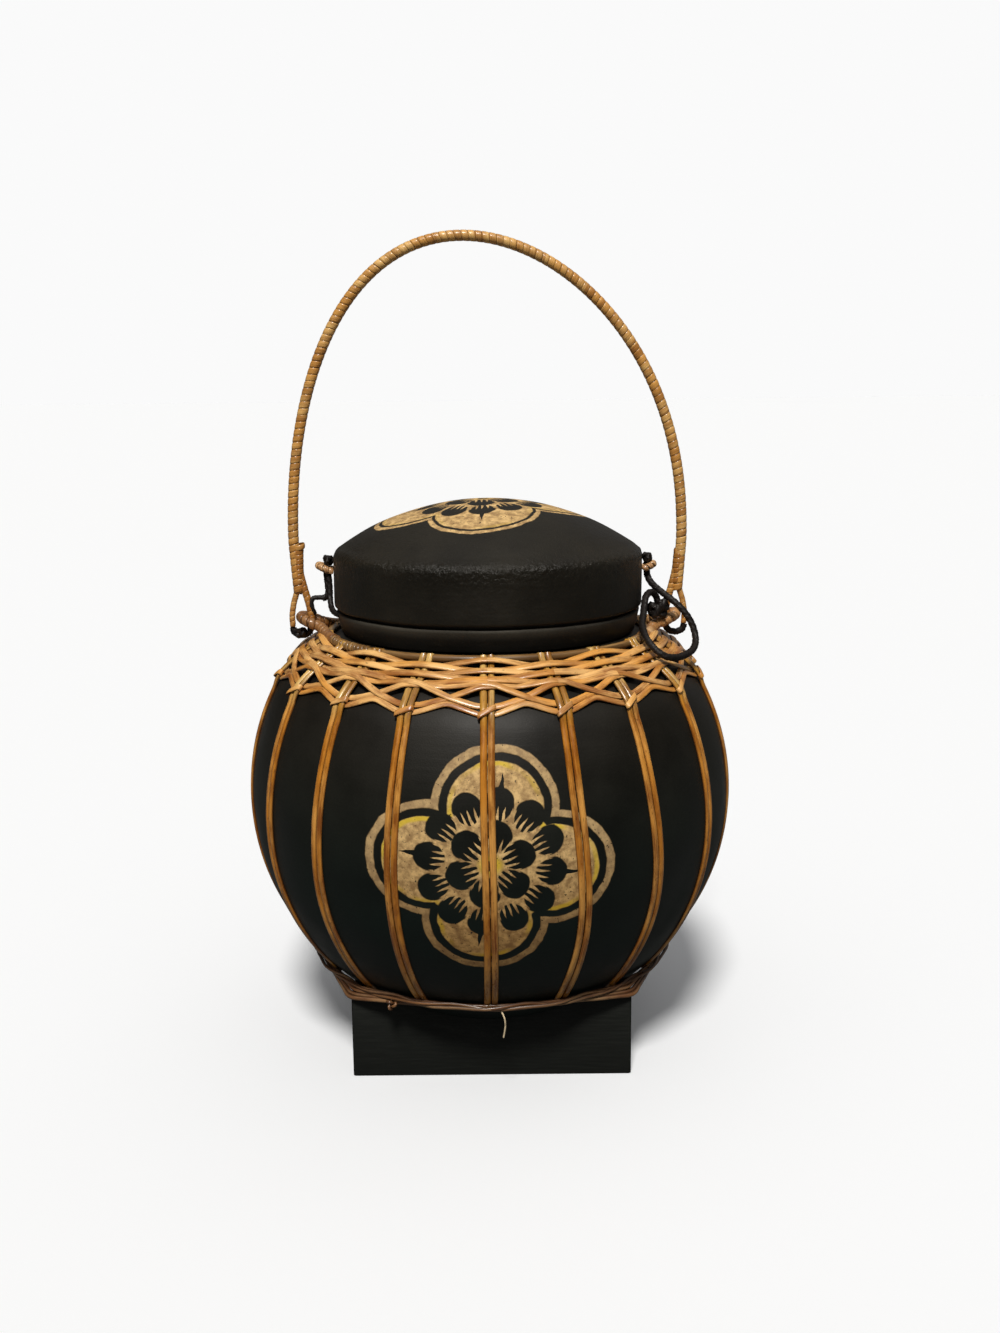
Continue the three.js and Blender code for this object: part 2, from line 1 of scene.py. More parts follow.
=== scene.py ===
"""A lidded rice basket: black lacquer on a square foot, caged in woven rattan, with a cane bail."""
import random
from functools import partial
from math import asin, cos, hypot, pi, radians, sin, sqrt

import bpy
import numpy as np
from mathutils import Matrix, Vector, noise


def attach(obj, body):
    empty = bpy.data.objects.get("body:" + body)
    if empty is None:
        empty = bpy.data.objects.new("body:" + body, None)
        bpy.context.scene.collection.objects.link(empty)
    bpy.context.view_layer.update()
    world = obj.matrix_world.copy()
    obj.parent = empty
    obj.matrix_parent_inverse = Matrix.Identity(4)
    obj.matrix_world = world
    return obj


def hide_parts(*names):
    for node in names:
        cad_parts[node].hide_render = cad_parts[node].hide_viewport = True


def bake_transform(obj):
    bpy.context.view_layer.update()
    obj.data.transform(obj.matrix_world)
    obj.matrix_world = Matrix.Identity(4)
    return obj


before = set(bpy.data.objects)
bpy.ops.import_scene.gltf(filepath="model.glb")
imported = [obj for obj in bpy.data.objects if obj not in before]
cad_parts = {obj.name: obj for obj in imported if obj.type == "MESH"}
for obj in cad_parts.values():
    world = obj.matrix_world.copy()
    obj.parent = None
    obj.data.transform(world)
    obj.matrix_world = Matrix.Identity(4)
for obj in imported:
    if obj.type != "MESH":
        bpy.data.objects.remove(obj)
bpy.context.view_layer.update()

# Camera
# It stands in front of the basket and looks slightly down on it, where the photograph was taken.
MM = 0.001
LENS = 37.81
CAMERA_PLACE = (5.53 * MM, -681.38 * MM, 322.26 * MM)
CAMERA_DIP, CAMERA_ROLL = radians(11.38), radians(-0.55)
bpy.ops.object.camera_add()
camera = bpy.context.object
camera.name = "camera"
camera.data.lens = LENS
camera.matrix_world = (
    Matrix.Translation(CAMERA_PLACE)
    @ Matrix.Rotation(pi / 2 - CAMERA_DIP, 4, "X")
    @ Matrix.Rotation(CAMERA_ROLL, 4, "Z")
)
bpy.context.scene.camera = camera

# Right lid cord
# A waxed black cord of three twisted plies. It is tied to the lid's right loop, hangs slack over
# the collar's shoulder and comes back up to its knot on the right ear.
CORD_WIDTH = 3.5 * MM
CORD_STEP = 1.1 * MM
CORD_TURN = 9 * MM
CURVE_PARTS = 16


def gone_along(line):
    """How far along a line each of its points lies."""
    return np.concatenate(([0], np.cumsum(np.linalg.norm(np.diff(line, axis=0), axis=1))))


def read_off(at, gone, line):
    """The points of a line at some distances along it."""
    return np.stack([np.interp(at, gone, column) for column in line.T], -1)


def smooth(points, step, closed=False):
    """Points about a step apart on a smooth curve through the given ones."""
    points = [Vector(p) for p in points]
    if closed:
        run = [points[-1], *points, points[0], points[1]]
    else:
        run = [2 * points[0] - points[1], *points, 2 * points[-1] - points[-2]]
    dense = []
    for p0, p1, p2, p3 in zip(run, run[1:], run[2:], run[3:]):
        a = sqrt((p1 - p0).length)
        b = a + sqrt((p2 - p1).length)
        c = b + sqrt((p3 - p2).length)
        for k in range(CURVE_PARTS):
            t = a + (b - a) * k / CURVE_PARTS
            q0, q1, q2 = p0.lerp(p1, t / a), p1.lerp(p2, (t - a) / (b - a)), p2.lerp(p3, (t - b) / (c - b))
            r0, r1 = q0.lerp(q1, t / b), q1.lerp(q2, (t - a) / (c - a))
            dense.append(r0.lerp(r1, (t - a) / (b - a)))
    dense.append(dense[0] if closed else points[-1])
    dense = np.array(dense)
    gone = gone_along(dense)
    steps = max(3, round(gone[-1] / step))
    return read_off(np.linspace(0, gone[-1], steps + 1)[: steps if closed else None], gone, dense)


def heading(line, closed=False):
    """The direction of a line at each of its points."""
    ahead = np.roll(line, -1, 0) - np.roll(line, 1, 0) if closed else np.gradient(line, axis=0)
    return ahead / np.linalg.norm(ahead, axis=1)[:, None]


def untwisted(ahead):
    """Outward directions that are carried along a line with no twist."""
    out = np.array(Vector(ahead[0]).orthogonal().normalized())
    outs = []
    for tangent in ahead:
        out = out - tangent * (out @ tangent)
        out /= np.linalg.norm(out)
        outs.append(out)
    return np.array(outs)


def swept(name, centres, section, outs=None, sides=None, closed=False, turns=None, widths=None):
    """A strand: its section, in (across, out) pairs, carried along a run of points.

    Its UV map holds the distance along it and round it, and its crown attribute is 1 on its
    outer face and 0 on the face that lies down. Without outs or sides it is carried with no twist.
    """
    centres, section = np.asarray(centres, float), np.asarray(section, float)
    count, corners = len(centres), len(section)
    ahead = heading(centres, closed)
    if sides is None:
        sides = np.cross(ahead, untwisted(ahead) if outs is None else outs)
    sides = sides / np.linalg.norm(sides, axis=1)[:, None]
    ups = np.cross(sides, ahead)
    if turns is not None:
        c, s = np.cos(turns)[:, None], np.sin(turns)[:, None]
        sides, ups = sides * c + ups * s, ups * c - sides * s
    scale = np.ones(count) if widths is None else widths
    across, lift = (np.outer(scale, column)[..., None] for column in section.T)
    points = centres[:, None] + sides[:, None] * across + ups[:, None] * lift
    i, j = np.meshgrid(np.arange(count if closed else count - 1), np.arange(corners), indexing="ij")
    i2, j2 = (i + 1) % count, (j + 1) % corners
    quads = np.stack([i * corners + j, i * corners + j2, i2 * corners + j2, i2 * corners + j], -1)
    faces = quads.reshape(-1, 4).tolist()
    if not closed:
        faces += [list(range(corners))[::-1], [(count - 1) * corners + k for k in range(corners)]]
    mesh = bpy.data.meshes.new(name)
    mesh.from_pydata(points.reshape(-1, 3).tolist(), [], faces)
    along, around = (gone_along(np.concatenate((ring, ring[:1]))) for ring in (centres, section))
    quad = (0, 0), (0, 1), (1, 1), (1, 0)
    uv = np.stack([np.stack([along[i + a], around[j + b]], -1) for a, b in quad], 2).reshape(-1, 2)
    if not closed:
        uv = np.concatenate((uv, np.zeros((2 * corners, 2))))
    mesh.uv_layers.new(name="along").data.foreach_set("uv", uv.ravel().astype(np.float32))
    high = section[:, 1] - section[:, 1].min()
    crown = np.tile(high / high.max(), count)
    mesh.attributes.new("crown", "FLOAT", "POINT").data.foreach_set("value", crown.astype(np.float32))
    piece = bpy.data.objects.new(name, mesh)
    bpy.context.collection.objects.link(piece)
    return soften(piece, 50)


def pick(*pieces):
    """Selects pieces, with the first one active."""
    bpy.ops.object.select_all(action="DESELECT")
    for piece in pieces:
        piece.select_set(True)
    bpy.context.view_layer.objects.active = pieces[0]


def soften(piece, angle):
    """Smooth shading, with faces left crisp over edges sharper than the angle."""
    pick(piece)
    bpy.ops.object.mode_set(mode="EDIT")
    bpy.ops.mesh.select_all(action="SELECT")
    bpy.ops.mesh.normals_make_consistent(inside=False)
    bpy.ops.object.mode_set(mode="OBJECT")
    bpy.ops.object.shade_smooth_by_angle(angle=radians(angle))
    return piece


def plied(width, sides=18, plies=3, depth=0.1):
    """Section of a cord of twisted plies, its widest points the cord's width apart."""
    angles = [2 * pi * k / sides for k in range(sides)]
    radii = [width / 2 * (1 - depth * (0.5 - 0.5 * cos(plies * a)) ** 2) for a in angles]
    return [(r * cos(a), r * sin(a)) for r, a in zip(radii, angles)]


def lay_cord(name, points, width=CORD_WIDTH, closed=False):
    """A twisted cord along a smooth curve through the points."""
    run = smooth(points, CORD_STEP, closed)
    turns = np.arange(len(run)) * (2 * pi * CORD_STEP / CORD_TURN)
    if closed:
        turns = np.linspace(0, 2 * pi * round(turns[-1] / (2 * pi)), len(run) + 1)[:-1]
    return swept(name, run, plied(width), closed=closed, turns=turns), run


def plug(made, inputs):
    """Gives each input of a node its value, or the socket that feeds it."""
    for socket, value in inputs.items():
        if isinstance(value, bpy.types.NodeSocket):
            made.id_data.links.new(value, made.inputs[socket])
        else:
            made.inputs[socket].default_value = value


def node(tree, kind, inputs=(), **settings):
    """A new node with its settings and its inputs."""
    made = tree.nodes.new(kind)
    for key, value in settings.items():
        setattr(made, key, value)
    plug(made, dict(inputs))
    return made


def calc(operation, *values, kind="ShaderNodeMath", **settings):
    """The result of a Math or Vector Math node, in the tree that its sockets belong to."""
    tree = next(v.id_data for v in values if isinstance(v, bpy.types.NodeSocket))
    return node(tree, kind, enumerate(values), operation=operation, **settings).outputs[0]


vectors = partial(calc, kind="ShaderNodeVectorMath")
plus, minus, times = partial(calc, "ADD"), partial(calc, "SUBTRACT"), partial(calc, "MULTIPLY")
times_plus, least, most = partial(calc, "MULTIPLY_ADD"), partial(calc, "MINIMUM"), partial(calc, "MAXIMUM")


def ramp(value, low, high, start=0.0, end=1.0, kind="LINEAR"):
    """What runs from start to end while the value runs from low to high."""
    inputs = {"Value": value, "From Min": low, "From Max": high, "To Min": start, "To Max": end}
    return node(value.id_data, "ShaderNodeMapRange", inputs, interpolation_type=kind).outputs["Result"]


def step_up(value, low, high):
    """0 below low, 1 above high, and smooth between them."""
    return ramp(value, low, high, kind="SMOOTHSTEP")


def step_down(value, low, high):
    """1 below low, 0 above high, and smooth between them."""
    return ramp(value, low, high, 1.0, 0.0, "SMOOTHSTEP")


def mottled(place, scale, detail, roughness=0.5, turn=0.0, output=0):
    """Noise at a place. Three scales draw it out, and it can be turned in its own plane."""
    if isinstance(scale, tuple):
        inputs = {"Vector": place, "Rotation": (0, 0, turn), "Scale": scale}
        place, scale = node(place.id_data, "ShaderNodeMapping", inputs).outputs[0], 1.0
    inputs = {"Vector": place, "Scale": scale, "Detail": detail, "Roughness": roughness}
    return node(place.id_data, "ShaderNodeTexNoise", inputs).outputs[output]


def mix_colour(share, a, b):
    """A mix of two colours."""
    a, b = (colour if isinstance(colour, bpy.types.NodeSocket) else (*colour, 1) for colour in (a, b))
    return node(share.id_data, "ShaderNodeMix", {"Factor": share, 6: a, 7: b}, data_type="RGBA").outputs[2]


def new_material(name):
    """A material and its node tree."""
    made = bpy.data.materials.new(name)
    made.use_nodes = True
    return made, made.node_tree


def coat(material, colour, roughness, height=None, bump=0.0, **others):
    """Gives a material's shader its colour, its roughness and a relief that stands a bump high."""
    tree = material.node_tree
    inputs = {"Base Color": colour, "Roughness": roughness}
    if bump:
        relief = node(tree, "ShaderNodeBump", {"Height": height, "Strength": 1.0, "Distance": bump})
        inputs["Normal"] = relief.outputs[0]
    inputs.update({name.replace("_", " "): value for name, value in others.items()})
    plug(tree.nodes["Principled BSDF"], inputs)
    return material


cord_black, tree = new_material("waxed_cord")
fuzz = mottled(node(tree, "ShaderNodeUVMap", uv_map="along").outputs[0], (500, 2600, 1), 3.0, turn=0.6)
colour = mix_colour(fuzz, (0.004, 0.0034, 0.0032), (0.024, 0.0185, 0.0165))
coat(cord_black, colour, step_up(fuzz, -0.4, 1.6), fuzz, 0.25 * MM, Specular_IOR_Level=0.3)

RIGHT_CORD_ROUTE = [
    (77.9, 0, 237.2), (77.9, 0, 234), (77.9, 0, 231), (79.2, -3.2, 227.6), (82.3, -7.6, 224.5),
    (86.3, -11.7, 221.6), (90.3, -14.2, 218.6), (93.8, -15.4, 215.2), (96.6, -15.9, 211.4),
    (98.6, -16.4, 207.4), (99.6, -17.6, 203.6), (99.4, -21, 200.4), (97.2, -28, 198.2),
    (92.6, -37.6, 197.6), (87, -46.8, 198), (81.4, -51.8, 199.6), (77.4, -51.8, 202.2),
    (74.2, -48.2, 205.4), (72.6, -42.4, 208.5), (72.3, -34.5, 211.6), (73.6, -27, 215),
    (74.6, -21.3, 218.8), (75.9, -16.6, 222.2), (78.6, -12.4, 223.5), (81.2, -9.8, 221.6),
    (82.4, -9, 218.2),
]
right_cord, run = lay_cord("right_cord", np.array(RIGHT_CORD_ROUTE) * MM)
right_cord.data.materials.append(cord_black)
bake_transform(right_cord)
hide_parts("lid_cord_right")

# Globe outline
# The globe is a ball whose shoulder runs in to the mouth. Everything woven on it is placed by its
# distance from the mouth's rim down this outline and by its lift off the surface.
GLOBE_RADIUS = 117.7 * MM
GLOBE_CENTRE = 126 * MM
GLOBE_WALL = 3.5 * MM
SHOULDER_ANGLE = radians(26.2)
SHOULDER_BOW = 16 * MM
SHOULDER_POINTS, BALL_POINTS = 201, 601
MOUTH_RADIUS = 70.5 * MM
MOUTH_HEIGHT = 205.3 * MM


def bowed(start, pull, end, count):
    """Points on a curve from start to end, pulled out towards a third point."""
    share = np.linspace(0, 1, count)[:, None]
    start, pull, end = (np.array(p) for p in (start, pull, end))
    return (1 - share) ** 2 * start + 2 * share * (1 - share) * pull + share ** 2 * end


shoulder_out = np.array((cos(SHOULDER_ANGLE), sin(SHOULDER_ANGLE)))
shoulder_end = np.array((0, GLOBE_CENTRE)) + GLOBE_RADIUS * shoulder_out
shoulder_pull = shoulder_end + SHOULDER_BOW * np.array((-shoulder_out[1], shoulder_out[0]))
shoulder = bowed((MOUTH_RADIUS, MOUTH_HEIGHT), shoulder_pull, shoulder_end, SHOULDER_POINTS)
angles = np.linspace(SHOULDER_ANGLE, -pi / 2, BALL_POINTS)[1:]
ball = np.stack([GLOBE_RADIUS * np.cos(angles), GLOBE_CENTRE + GLOBE_RADIUS * np.sin(angles)], 1)
outline = np.concatenate((shoulder, ball))
outline_gone = gone_along(outline)
slope = heading(outline)
outline_out = np.stack([-slope[:, 1], slope[:, 0]], 1)
SHOULDER_LENGTH = outline_gone[SHOULDER_POINTS - 1]
POLE = outline_gone[-1]


def on_globe(along, lift=0.0):
    """Radius and height of points on the outline, lifted off it, and the outward directions."""
    point, out = (read_off(along, outline_gone, line) for line in (outline, outline_out))
    return point + out * np.asarray(lift)[..., None], out


def along_at(height):
    """Distance down the outline at which the ball has a height."""
    return SHOULDER_LENGTH + GLOBE_RADIUS * (SHOULDER_ANGLE - asin((height - GLOBE_CENTRE) / GLOBE_RADIUS))


def turned_to(azimuth, radius, height):
    """The point at a radius and height, turned to an azimuth round from the front."""
    return np.stack(np.broadcast_arrays(radius * np.sin(azimuth), -radius * np.cos(azimuth), height), -1)


def laid_round(azimuth, along, lift):
    """Points at azimuths round the globe, and their outward directions."""
    point, out = on_globe(along, lift)
    return turned_to(azimuth, *point.T), turned_to(azimuth, *out.T)


# Globe
# A ball of coiled bamboo splints, filled with lacquer and ash and rubbed smooth, then coated
# black. A painted rosette stands on the front, and one is taken to stand on the back as well.


def turned(name, profile, steps, crisp):
    """A turned piece: a profile of (radius, height) points, drawn by extruding and then spun."""
    bpy.ops.mesh.primitive_plane_add(size=MM)
    piece = bpy.context.object
    piece.name = name
    bpy.ops.object.mode_set(mode="EDIT")
    bpy.ops.mesh.merge(type="CENTER")
    bpy.ops.transform.translate(value=(profile[0][0], 0, profile[0][1]))
    for (r0, z0), (r1, z1) in zip(profile, profile[1:]):
        bpy.ops.mesh.extrude_vertices_move(TRANSFORM_OT_translate={"value": (r1 - r0, 0, z1 - z0)})
    bpy.ops.mesh.select_all(action="SELECT")
    bpy.ops.mesh.spin(steps=steps, angle=2 * pi, center=(0, 0, 0), axis=(0, 0, 1))
    bpy.ops.mesh.select_all(action="SELECT")
    bpy.ops.mesh.remove_doubles(threshold=0.02 * MM)
    bpy.ops.object.mode_set(mode="OBJECT")
    return soften(piece, crisp)


def work_by_hand(piece, amount, size, seed, weight=lambda co: 1.0):
    """Moves the surface in and out a little, as on a piece shaped by hand."""
    vertices = piece.data.vertices
    for vertex, normal in zip(vertices, [v.normal.copy() for v in vertices]):
        push = noise.noise(vertex.co / size + Vector((seed, 0, 0))) * amount
        vertex.co += normal * (push * weight(vertex.co))


def new_group(name, inputs, outputs):
    """A shader node group, with the sockets that it is given and the node for what it gives."""
    tree = bpy.data.node_groups.new(name, "ShaderNodeTree")
    kinds = {1: "NodeSocketFloat", 3: "NodeSocketVector", 4: "NodeSocketColor"}
    for label, value in inputs.items():
        socket = tree.interface.new_socket(name=label, in_out="INPUT", socket_type=kinds[np.size(value)])
        socket.default_value = value
    for label in outputs:
        kind = kinds[4 if label == "Colour" else 1]
        tree.interface.new_socket(name=label, in_out="OUTPUT", socket_type=kind)
    return tree, node(tree, "NodeGroupInput").outputs, node(tree, "NodeGroupOutput")


lacquer_skin, given, gives = new_group("Lacquer skin", {"Coil": 0.5}, ("Tone", "Height", "Roughness"))
place = node(lacquer_skin, "ShaderNodeTexCoord").outputs["Object"]
grain = mottled(place, 1700.0, 2.0)
blotch = mottled(place, 34.0, 5.0)
coils = mottled(place, (30, 30, 420), 3.0)
plug(gives, {
    "Tone": times_plus(grain, 0.35, times(blotch, 0.65)),
    "Height": times_plus(coils, given["Coil"], times(grain, 0.4)),
    "Roughness": ramp(blotch, 0.3, 0.7, 0.42, 0.6),
})


def span(a, b):
    """The distance that two distances at right angles make together."""
    return calc("SQRT", plus(times(a, a), times(b, b)))


def petal_ring(radius, angle, count, turn, at, size, strokes=2.15):
    """Mask of a ring of round petals, with light strokes cut into their inner halves."""
    local = calc("WRAP", minus(angle, turn), pi / count, -pi / count)
    across = calc("DIVIDE", times(radius, calc("SINE", local)), size)
    down = calc("DIVIDE", times_plus(radius, calc("COSINE", local), -at), size)
    inward = least(down, 0.0)
    reach = times_plus(inward, 0.86, most(down, 0.0))
    spread = calc("DIVIDE", across, most(times_plus(inward, 0.16, 1.0), 0.3))
    comb = calc("COSINE", times(spread, 2 * pi * strokes))
    uncut = step_down(minus(comb, ramp(down, -1.25, 0.0, -0.35, 1.2)), -0.1, 0.15)
    return times(step_down(span(spread, reach), 0.95, 1.05), uncut)


# A rosette in a four-lobed frame, one unit from its centre to the tips of the lobes
LOBE_PLACE, LOBE_RADIUS, HEART_RADIUS = 0.494, 0.506, 0.68
BAND, GAP, EDGE = 0.062, 0.066, 0.006
FLOWER_TURN, HEART_TURN = radians(-3), radians(24)
rosette, given, gives = new_group(
    "Painted rosette", {"Vector": (0, 0, 0), "Band": BAND, "Gap": GAP}, ("Cream", "Gold", "Band"))
drift = vectors("SUBTRACT", mottled(given["Vector"], 6.0, 2.0, output="Color"), (0.5, 0.5, 0.5))
drift = vectors("MULTIPLY_ADD", drift, (0.04, 0.04, 0.0), given["Vector"])
split = node(rosette, "ShaderNodeSeparateXYZ", {0: drift}).outputs
x, y = (calc("ABSOLUTE", split[k]) for k in (0, 1))
lobe = minus(span(minus(most(x, y), LOBE_PLACE), least(x, y)), LOBE_RADIUS)
edge = least(lobe, minus(span(x, y), HEART_RADIUS))
from_band = plus(edge, given["Band"])
from_field = plus(from_band, given["Gap"])
inside, in_band, in_field = (step_down(off, -EDGE, EDGE) for off in (edge, from_band, from_field))
band = minus(inside, in_band)
petal_x, petal_y = times_plus(split[0], 1.046, -0.003), times_plus(split[1], 0.989, -0.011)
radius, angle = span(petal_x, petal_y), calc("ARCTAN2", petal_y, petal_x)
petals = most(petal_ring(radius, angle, count=12, turn=FLOWER_TURN, at=0.518, size=0.126),
              petal_ring(radius, angle, count=6, turn=HEART_TURN, at=0.257, size=0.13))
quarter = calc("WRAP", minus(angle, FLOWER_TURN), pi / 4, -pi / 4)
beside = calc("ABSOLUTE", times(radius, calc("SINE", quarter)))
thorn = calc("LESS_THAN", beside, ramp(radius, 0.6, 0.77, 0.03, 0.0))
thorn = times(thorn, calc("GREATER_THAN", radius, 0.5))
dark = most(petals, most(step_down(radius, 0.042, 0.052), thorn))
field = times(in_field, minus(1.0, dark))
patchy = step_up(mottled(given["Vector"], 2.3, 2.0), 0.36, 0.56)
rim = times(minus(in_field, step_down(from_field, -0.05, -0.024)), patchy)
gold = most(rim, times(step_down(radius, 0.05, 0.13), field))
plug(gives, {"Cream": most(band, field), "Band": band, "Gold": gold})


def lacquered(name, top, bottom, low, high, bump, coil, painted=None, band=BAND, gap=GAP, gilt=0.85,
              rough_rim=0.0):
    """Black lacquer whose colour runs from bottom to top, with a rosette where painted is given. A
    rough rim is grainy with filler up to a height."""
    made, tree = new_material(name)
    place = node(tree, "ShaderNodeTexCoord").outputs["Object"]
    skin = node(tree, "ShaderNodeGroup", node_tree=lacquer_skin)
    plug(skin, {"Coil": coil})
    level = node(tree, "ShaderNodeSeparateXYZ", {0: place}).outputs
    # The colour runs from the bottom colour to the top one as the height rises. On the globe this is painted
    # light, a painted sheen above and a painted floor reflection below; on the neck ring it is a painted
    # highlight along its top.
    colour = mix_colour(step_up(level[2], low, high), bottom, top)
    colour = vectors("MULTIPLY", colour, ramp(skin.outputs["Tone"], 0.35, 0.65, 0.62, 1.45))
    relief, rough = skin.outputs["Height"], skin.outputs["Roughness"]
    if rough_rim:
        grainy = times(step_down(level[2], rough_rim - 2 * MM, rough_rim + 3 * MM),
                       step_up(level[2], rough_rim - 14 * MM, rough_rim - 3 * MM))
        relief = times_plus(times_plus(grainy, 2.8, 0.9), mottled(place, 400.0, 5.0, 0.6), relief)
        rough = times_plus(grainy, -0.17, rough)
    if painted:
        paint = node(tree, "ShaderNodeGroup", node_tree=rosette)
        plug(paint, {"Vector": painted(level), "Band": band, "Gap": gap})
        paint = paint.outputs
        patches = step_up(mottled(place, 260.0, 5.0, 0.65), 0.35, 0.68)
        cream = mix_colour(patches, (0.37, 0.225, 0.095), (0.84, 0.57, 0.25))
        cream = mix_colour(times(paint["Gold"], gilt), cream, (0.80, 0.56, 0.04))
        cream = mix_colour(times(paint["Band"], gilt * 0.53), cream, (0.38, 0.27, 0.15))
        # Painted shade: low on the globe, below 80 to 135 mm, the cream is painted darker and warmer, where
        # the rosette turns down away from the lamp.
        shaded_cream = vectors("MULTIPLY", cream, (0.72, 0.62, 0.50))
        cream = mix_colour(step_up(level[2], 80 * MM, 135 * MM), shaded_cream, cream)
        worn = times(paint["Cream"], step_up(mottled(place, 900.0, 2.0), 0.26, 0.36))
        colour = mix_colour(worn, colour, cream)
        relief = times_plus(worn, 0.35, relief)
        rough = times_plus(worn, 0.12, rough)
    return coat(made, colour, rough, relief, bump, Specular_IOR_Level=0.27)


def painted_at(across, up, turn, half_width, half_height):
    """The rosette's own plane, from distances off its centre, its turn and the reach of its lobes."""
    plane = node(up.id_data, "ShaderNodeCombineXYZ", {0: across, 1: up}).outputs[0]
    inputs = {"Vector": plane, "Rotation": (0, 0, turn), "Scale": (1 / half_width, 1 / half_height, 1)}
    return node(up.id_data, "ShaderNodeMapping", inputs).outputs[0]


ROSETTE_PLACE = (0.5 * MM, 122.2 * MM)


def front_and_back(level):
    """The rosette's plane on the globe, seen square on from the front and from the back."""
    across = times(level[0], times(calc("SIGN", level[1]), -1.0))
    across, up = minus(across, ROSETTE_PLACE[0]), minus(level[2], ROSETTE_PLACE[1])
    return painted_at(across, up, radians(5), 54 * MM, 51.3 * MM)


# Painted light: the globe's black is painted lighter and warmer towards the top, for the lamp's broad sheen
# there, and bluish green towards the bottom, for the pale floor's reflection.
globe_lacquer = lacquered("globe_lacquer", (0.0100, 0.0084, 0.0058), (0.0022, 0.0070, 0.0055),
                          low=70 * MM, high=190 * MM, bump=0.16 * MM, coil=0.5, painted=front_and_back)
inner_wall = on_globe(np.linspace(8 * MM, POLE, 60), -GLOBE_WALL)[0]
globe_profile = [
    (0, GLOBE_CENTRE - GLOBE_RADIUS + GLOBE_WALL), *inner_wall[-2::-1],
    (MOUTH_RADIUS - GLOBE_WALL, MOUTH_HEIGHT), (MOUTH_RADIUS - 1 * MM, MOUTH_HEIGHT),
    (MOUTH_RADIUS, MOUTH_HEIGHT - 0.4 * MM),
    *on_globe(np.linspace(0, POLE, 90)[1:-1])[0], (0, GLOBE_CENTRE - GLOBE_RADIUS),
]
globe = turned("globe", globe_profile, 160, 60)
work_by_hand(globe, amount=0.35 * MM, size=26 * MM, seed=3.0)
globe.data.materials.append(globe_lacquer)
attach(globe, "basket")
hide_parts("body_shell")

# Square foot
# Four boards, mitred at the corners and hollowed on top to cradle the globe. They carry the same
# black as the globe, brushed on thinner.
FOOT_HALF = 66 * MM
board_black, tree = new_material("board_black")
place = node(tree, "ShaderNodeTexCoord").outputs["Object"]
grain, dust = mottled(place, (60, 60, 900), 4.0), mottled(place, 70.0, 6.0)
colour = mix_colour(step_up(grain, 0.3, 0.75), (0.0086, 0.0098, 0.0084), (0.0126, 0.0141, 0.0122))
coat(board_black, colour, ramp(dust, 0.3, 0.7, 0.4, 0.62), times_plus(dust, 0.5, grain), 0.22 * MM,
     Specular_IOR_Level=0.3)
for side in ("front", "right", "back", "left"):
    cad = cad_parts[f"foot_board_{side}"]
    board = bpy.data.objects.new(f"foot_{side}", cad.data.copy())
    bpy.context.collection.objects.link(board)
    board.data.materials.clear()
    pick(board)
    bpy.ops.object.mode_set(mode="EDIT")
    bpy.ops.mesh.select_all(action="SELECT")
    bpy.ops.mesh.remove_doubles(threshold=0.05 * MM)
    bpy.ops.mesh.dissolve_limited(angle_limit=radians(2))
    bpy.ops.object.mode_set(mode="OBJECT")
    bevel = board.modifiers.new("worn edges", "BEVEL")
    bevel.width, bevel.segments, bevel.angle_limit = 0.7 * MM, 3, radians(40)
    bevel.limit_method = "ANGLE"
    bpy.ops.object.modifier_apply(modifier=bevel.name)
    soften(board, 35)
    board.data.materials.append(board_black)
    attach(board, "basket")
    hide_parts(cad.name)

# Neck ring and seat ring
# A bent bamboo hoop, lacquered black, is set on the mouth. A thinner ring stands in its rebate and
# guides the lid.
# Painted highlight: the ring is painted about ten times lighter at its top than at its foot, for the light
# along its rounded top edge.
neck_lacquer = lacquered("neck_lacquer", (0.052, 0.047, 0.037), (0.0050, 0.0046, 0.0036),
                         low=210.5 * MM, high=216.5 * MM, bump=0.2 * MM, coil=0.7)
neck_profile = np.array([
    (67.2, 205.6), (71.3, 205.6), (71.75, 205.9), (72.4, 208.4), (73.1, 211.4), (73.8, 214.4),
    (73.95, 215.1), (73.7, 215.7), (73.1, 216), (72, 216), (71.6, 215.7), (71.5, 215.2),
    (71.5, 211.7), (67.2, 211.7), (67, 211.4), (67, 205.9), (67.2, 205.6),
]) * MM
seat_profile = np.array([
    (68.3, 212.1), (70.9, 212.1), (71.15, 212.4), (71.15, 235.9), (70.7, 236.7), (69.9, 237),
    (68.7, 237), (68.1, 236.6), (68.05, 235.9), (68.05, 212.4), (68.3, 212.1),
]) * MM
neck_ring = turned("neck_band", neck_profile, 144, 35)
work_by_hand(neck_ring, amount=0.22 * MM, size=16 * MM, seed=11.0)
seat_ring = turned("seat_band", seat_profile, 144, 35)
for piece, cad_name in ((neck_ring, "neck_ring"), (seat_ring, "seat_ring")):
    piece.data.materials.append(neck_lacquer)
    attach(piece, "basket")
    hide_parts(cad_name)

# Rattan ribs
# Eighteen pairs of split rattan strands, varnished. Each pair hooks over the top hoop, lies on the
# globe side by side and ends under the twining above the foot.
RIBS = 18
RIB_PITCH = 2 * pi / RIBS
RIB_STRAND, RIB_THICK, RIB_SPACING = 3.15 * MM, 1.5 * MM, 3.35 * MM
COLLAR_THICK = 1.15 * MM
FIT = 0.2 * MM
RIB_LIFT = 2 * FIT + COLLAR_THICK
RIB_SUNK = 0.25 * MM
LEAVES_COLLAR, LIES_DOWN = 36.6 * MM, 45 * MM
LEANS_BELOW, LEANS_OVER = 165 * MM, 90 * MM
WAVER, SWAY, WIDTH_CHANGE = 0.5 * MM, 0.1 * MM, 0.07
HOOP_WIDTH, HOOP_PLACE = 3.6 * MM, 7 * MM
luck = random.Random(7)


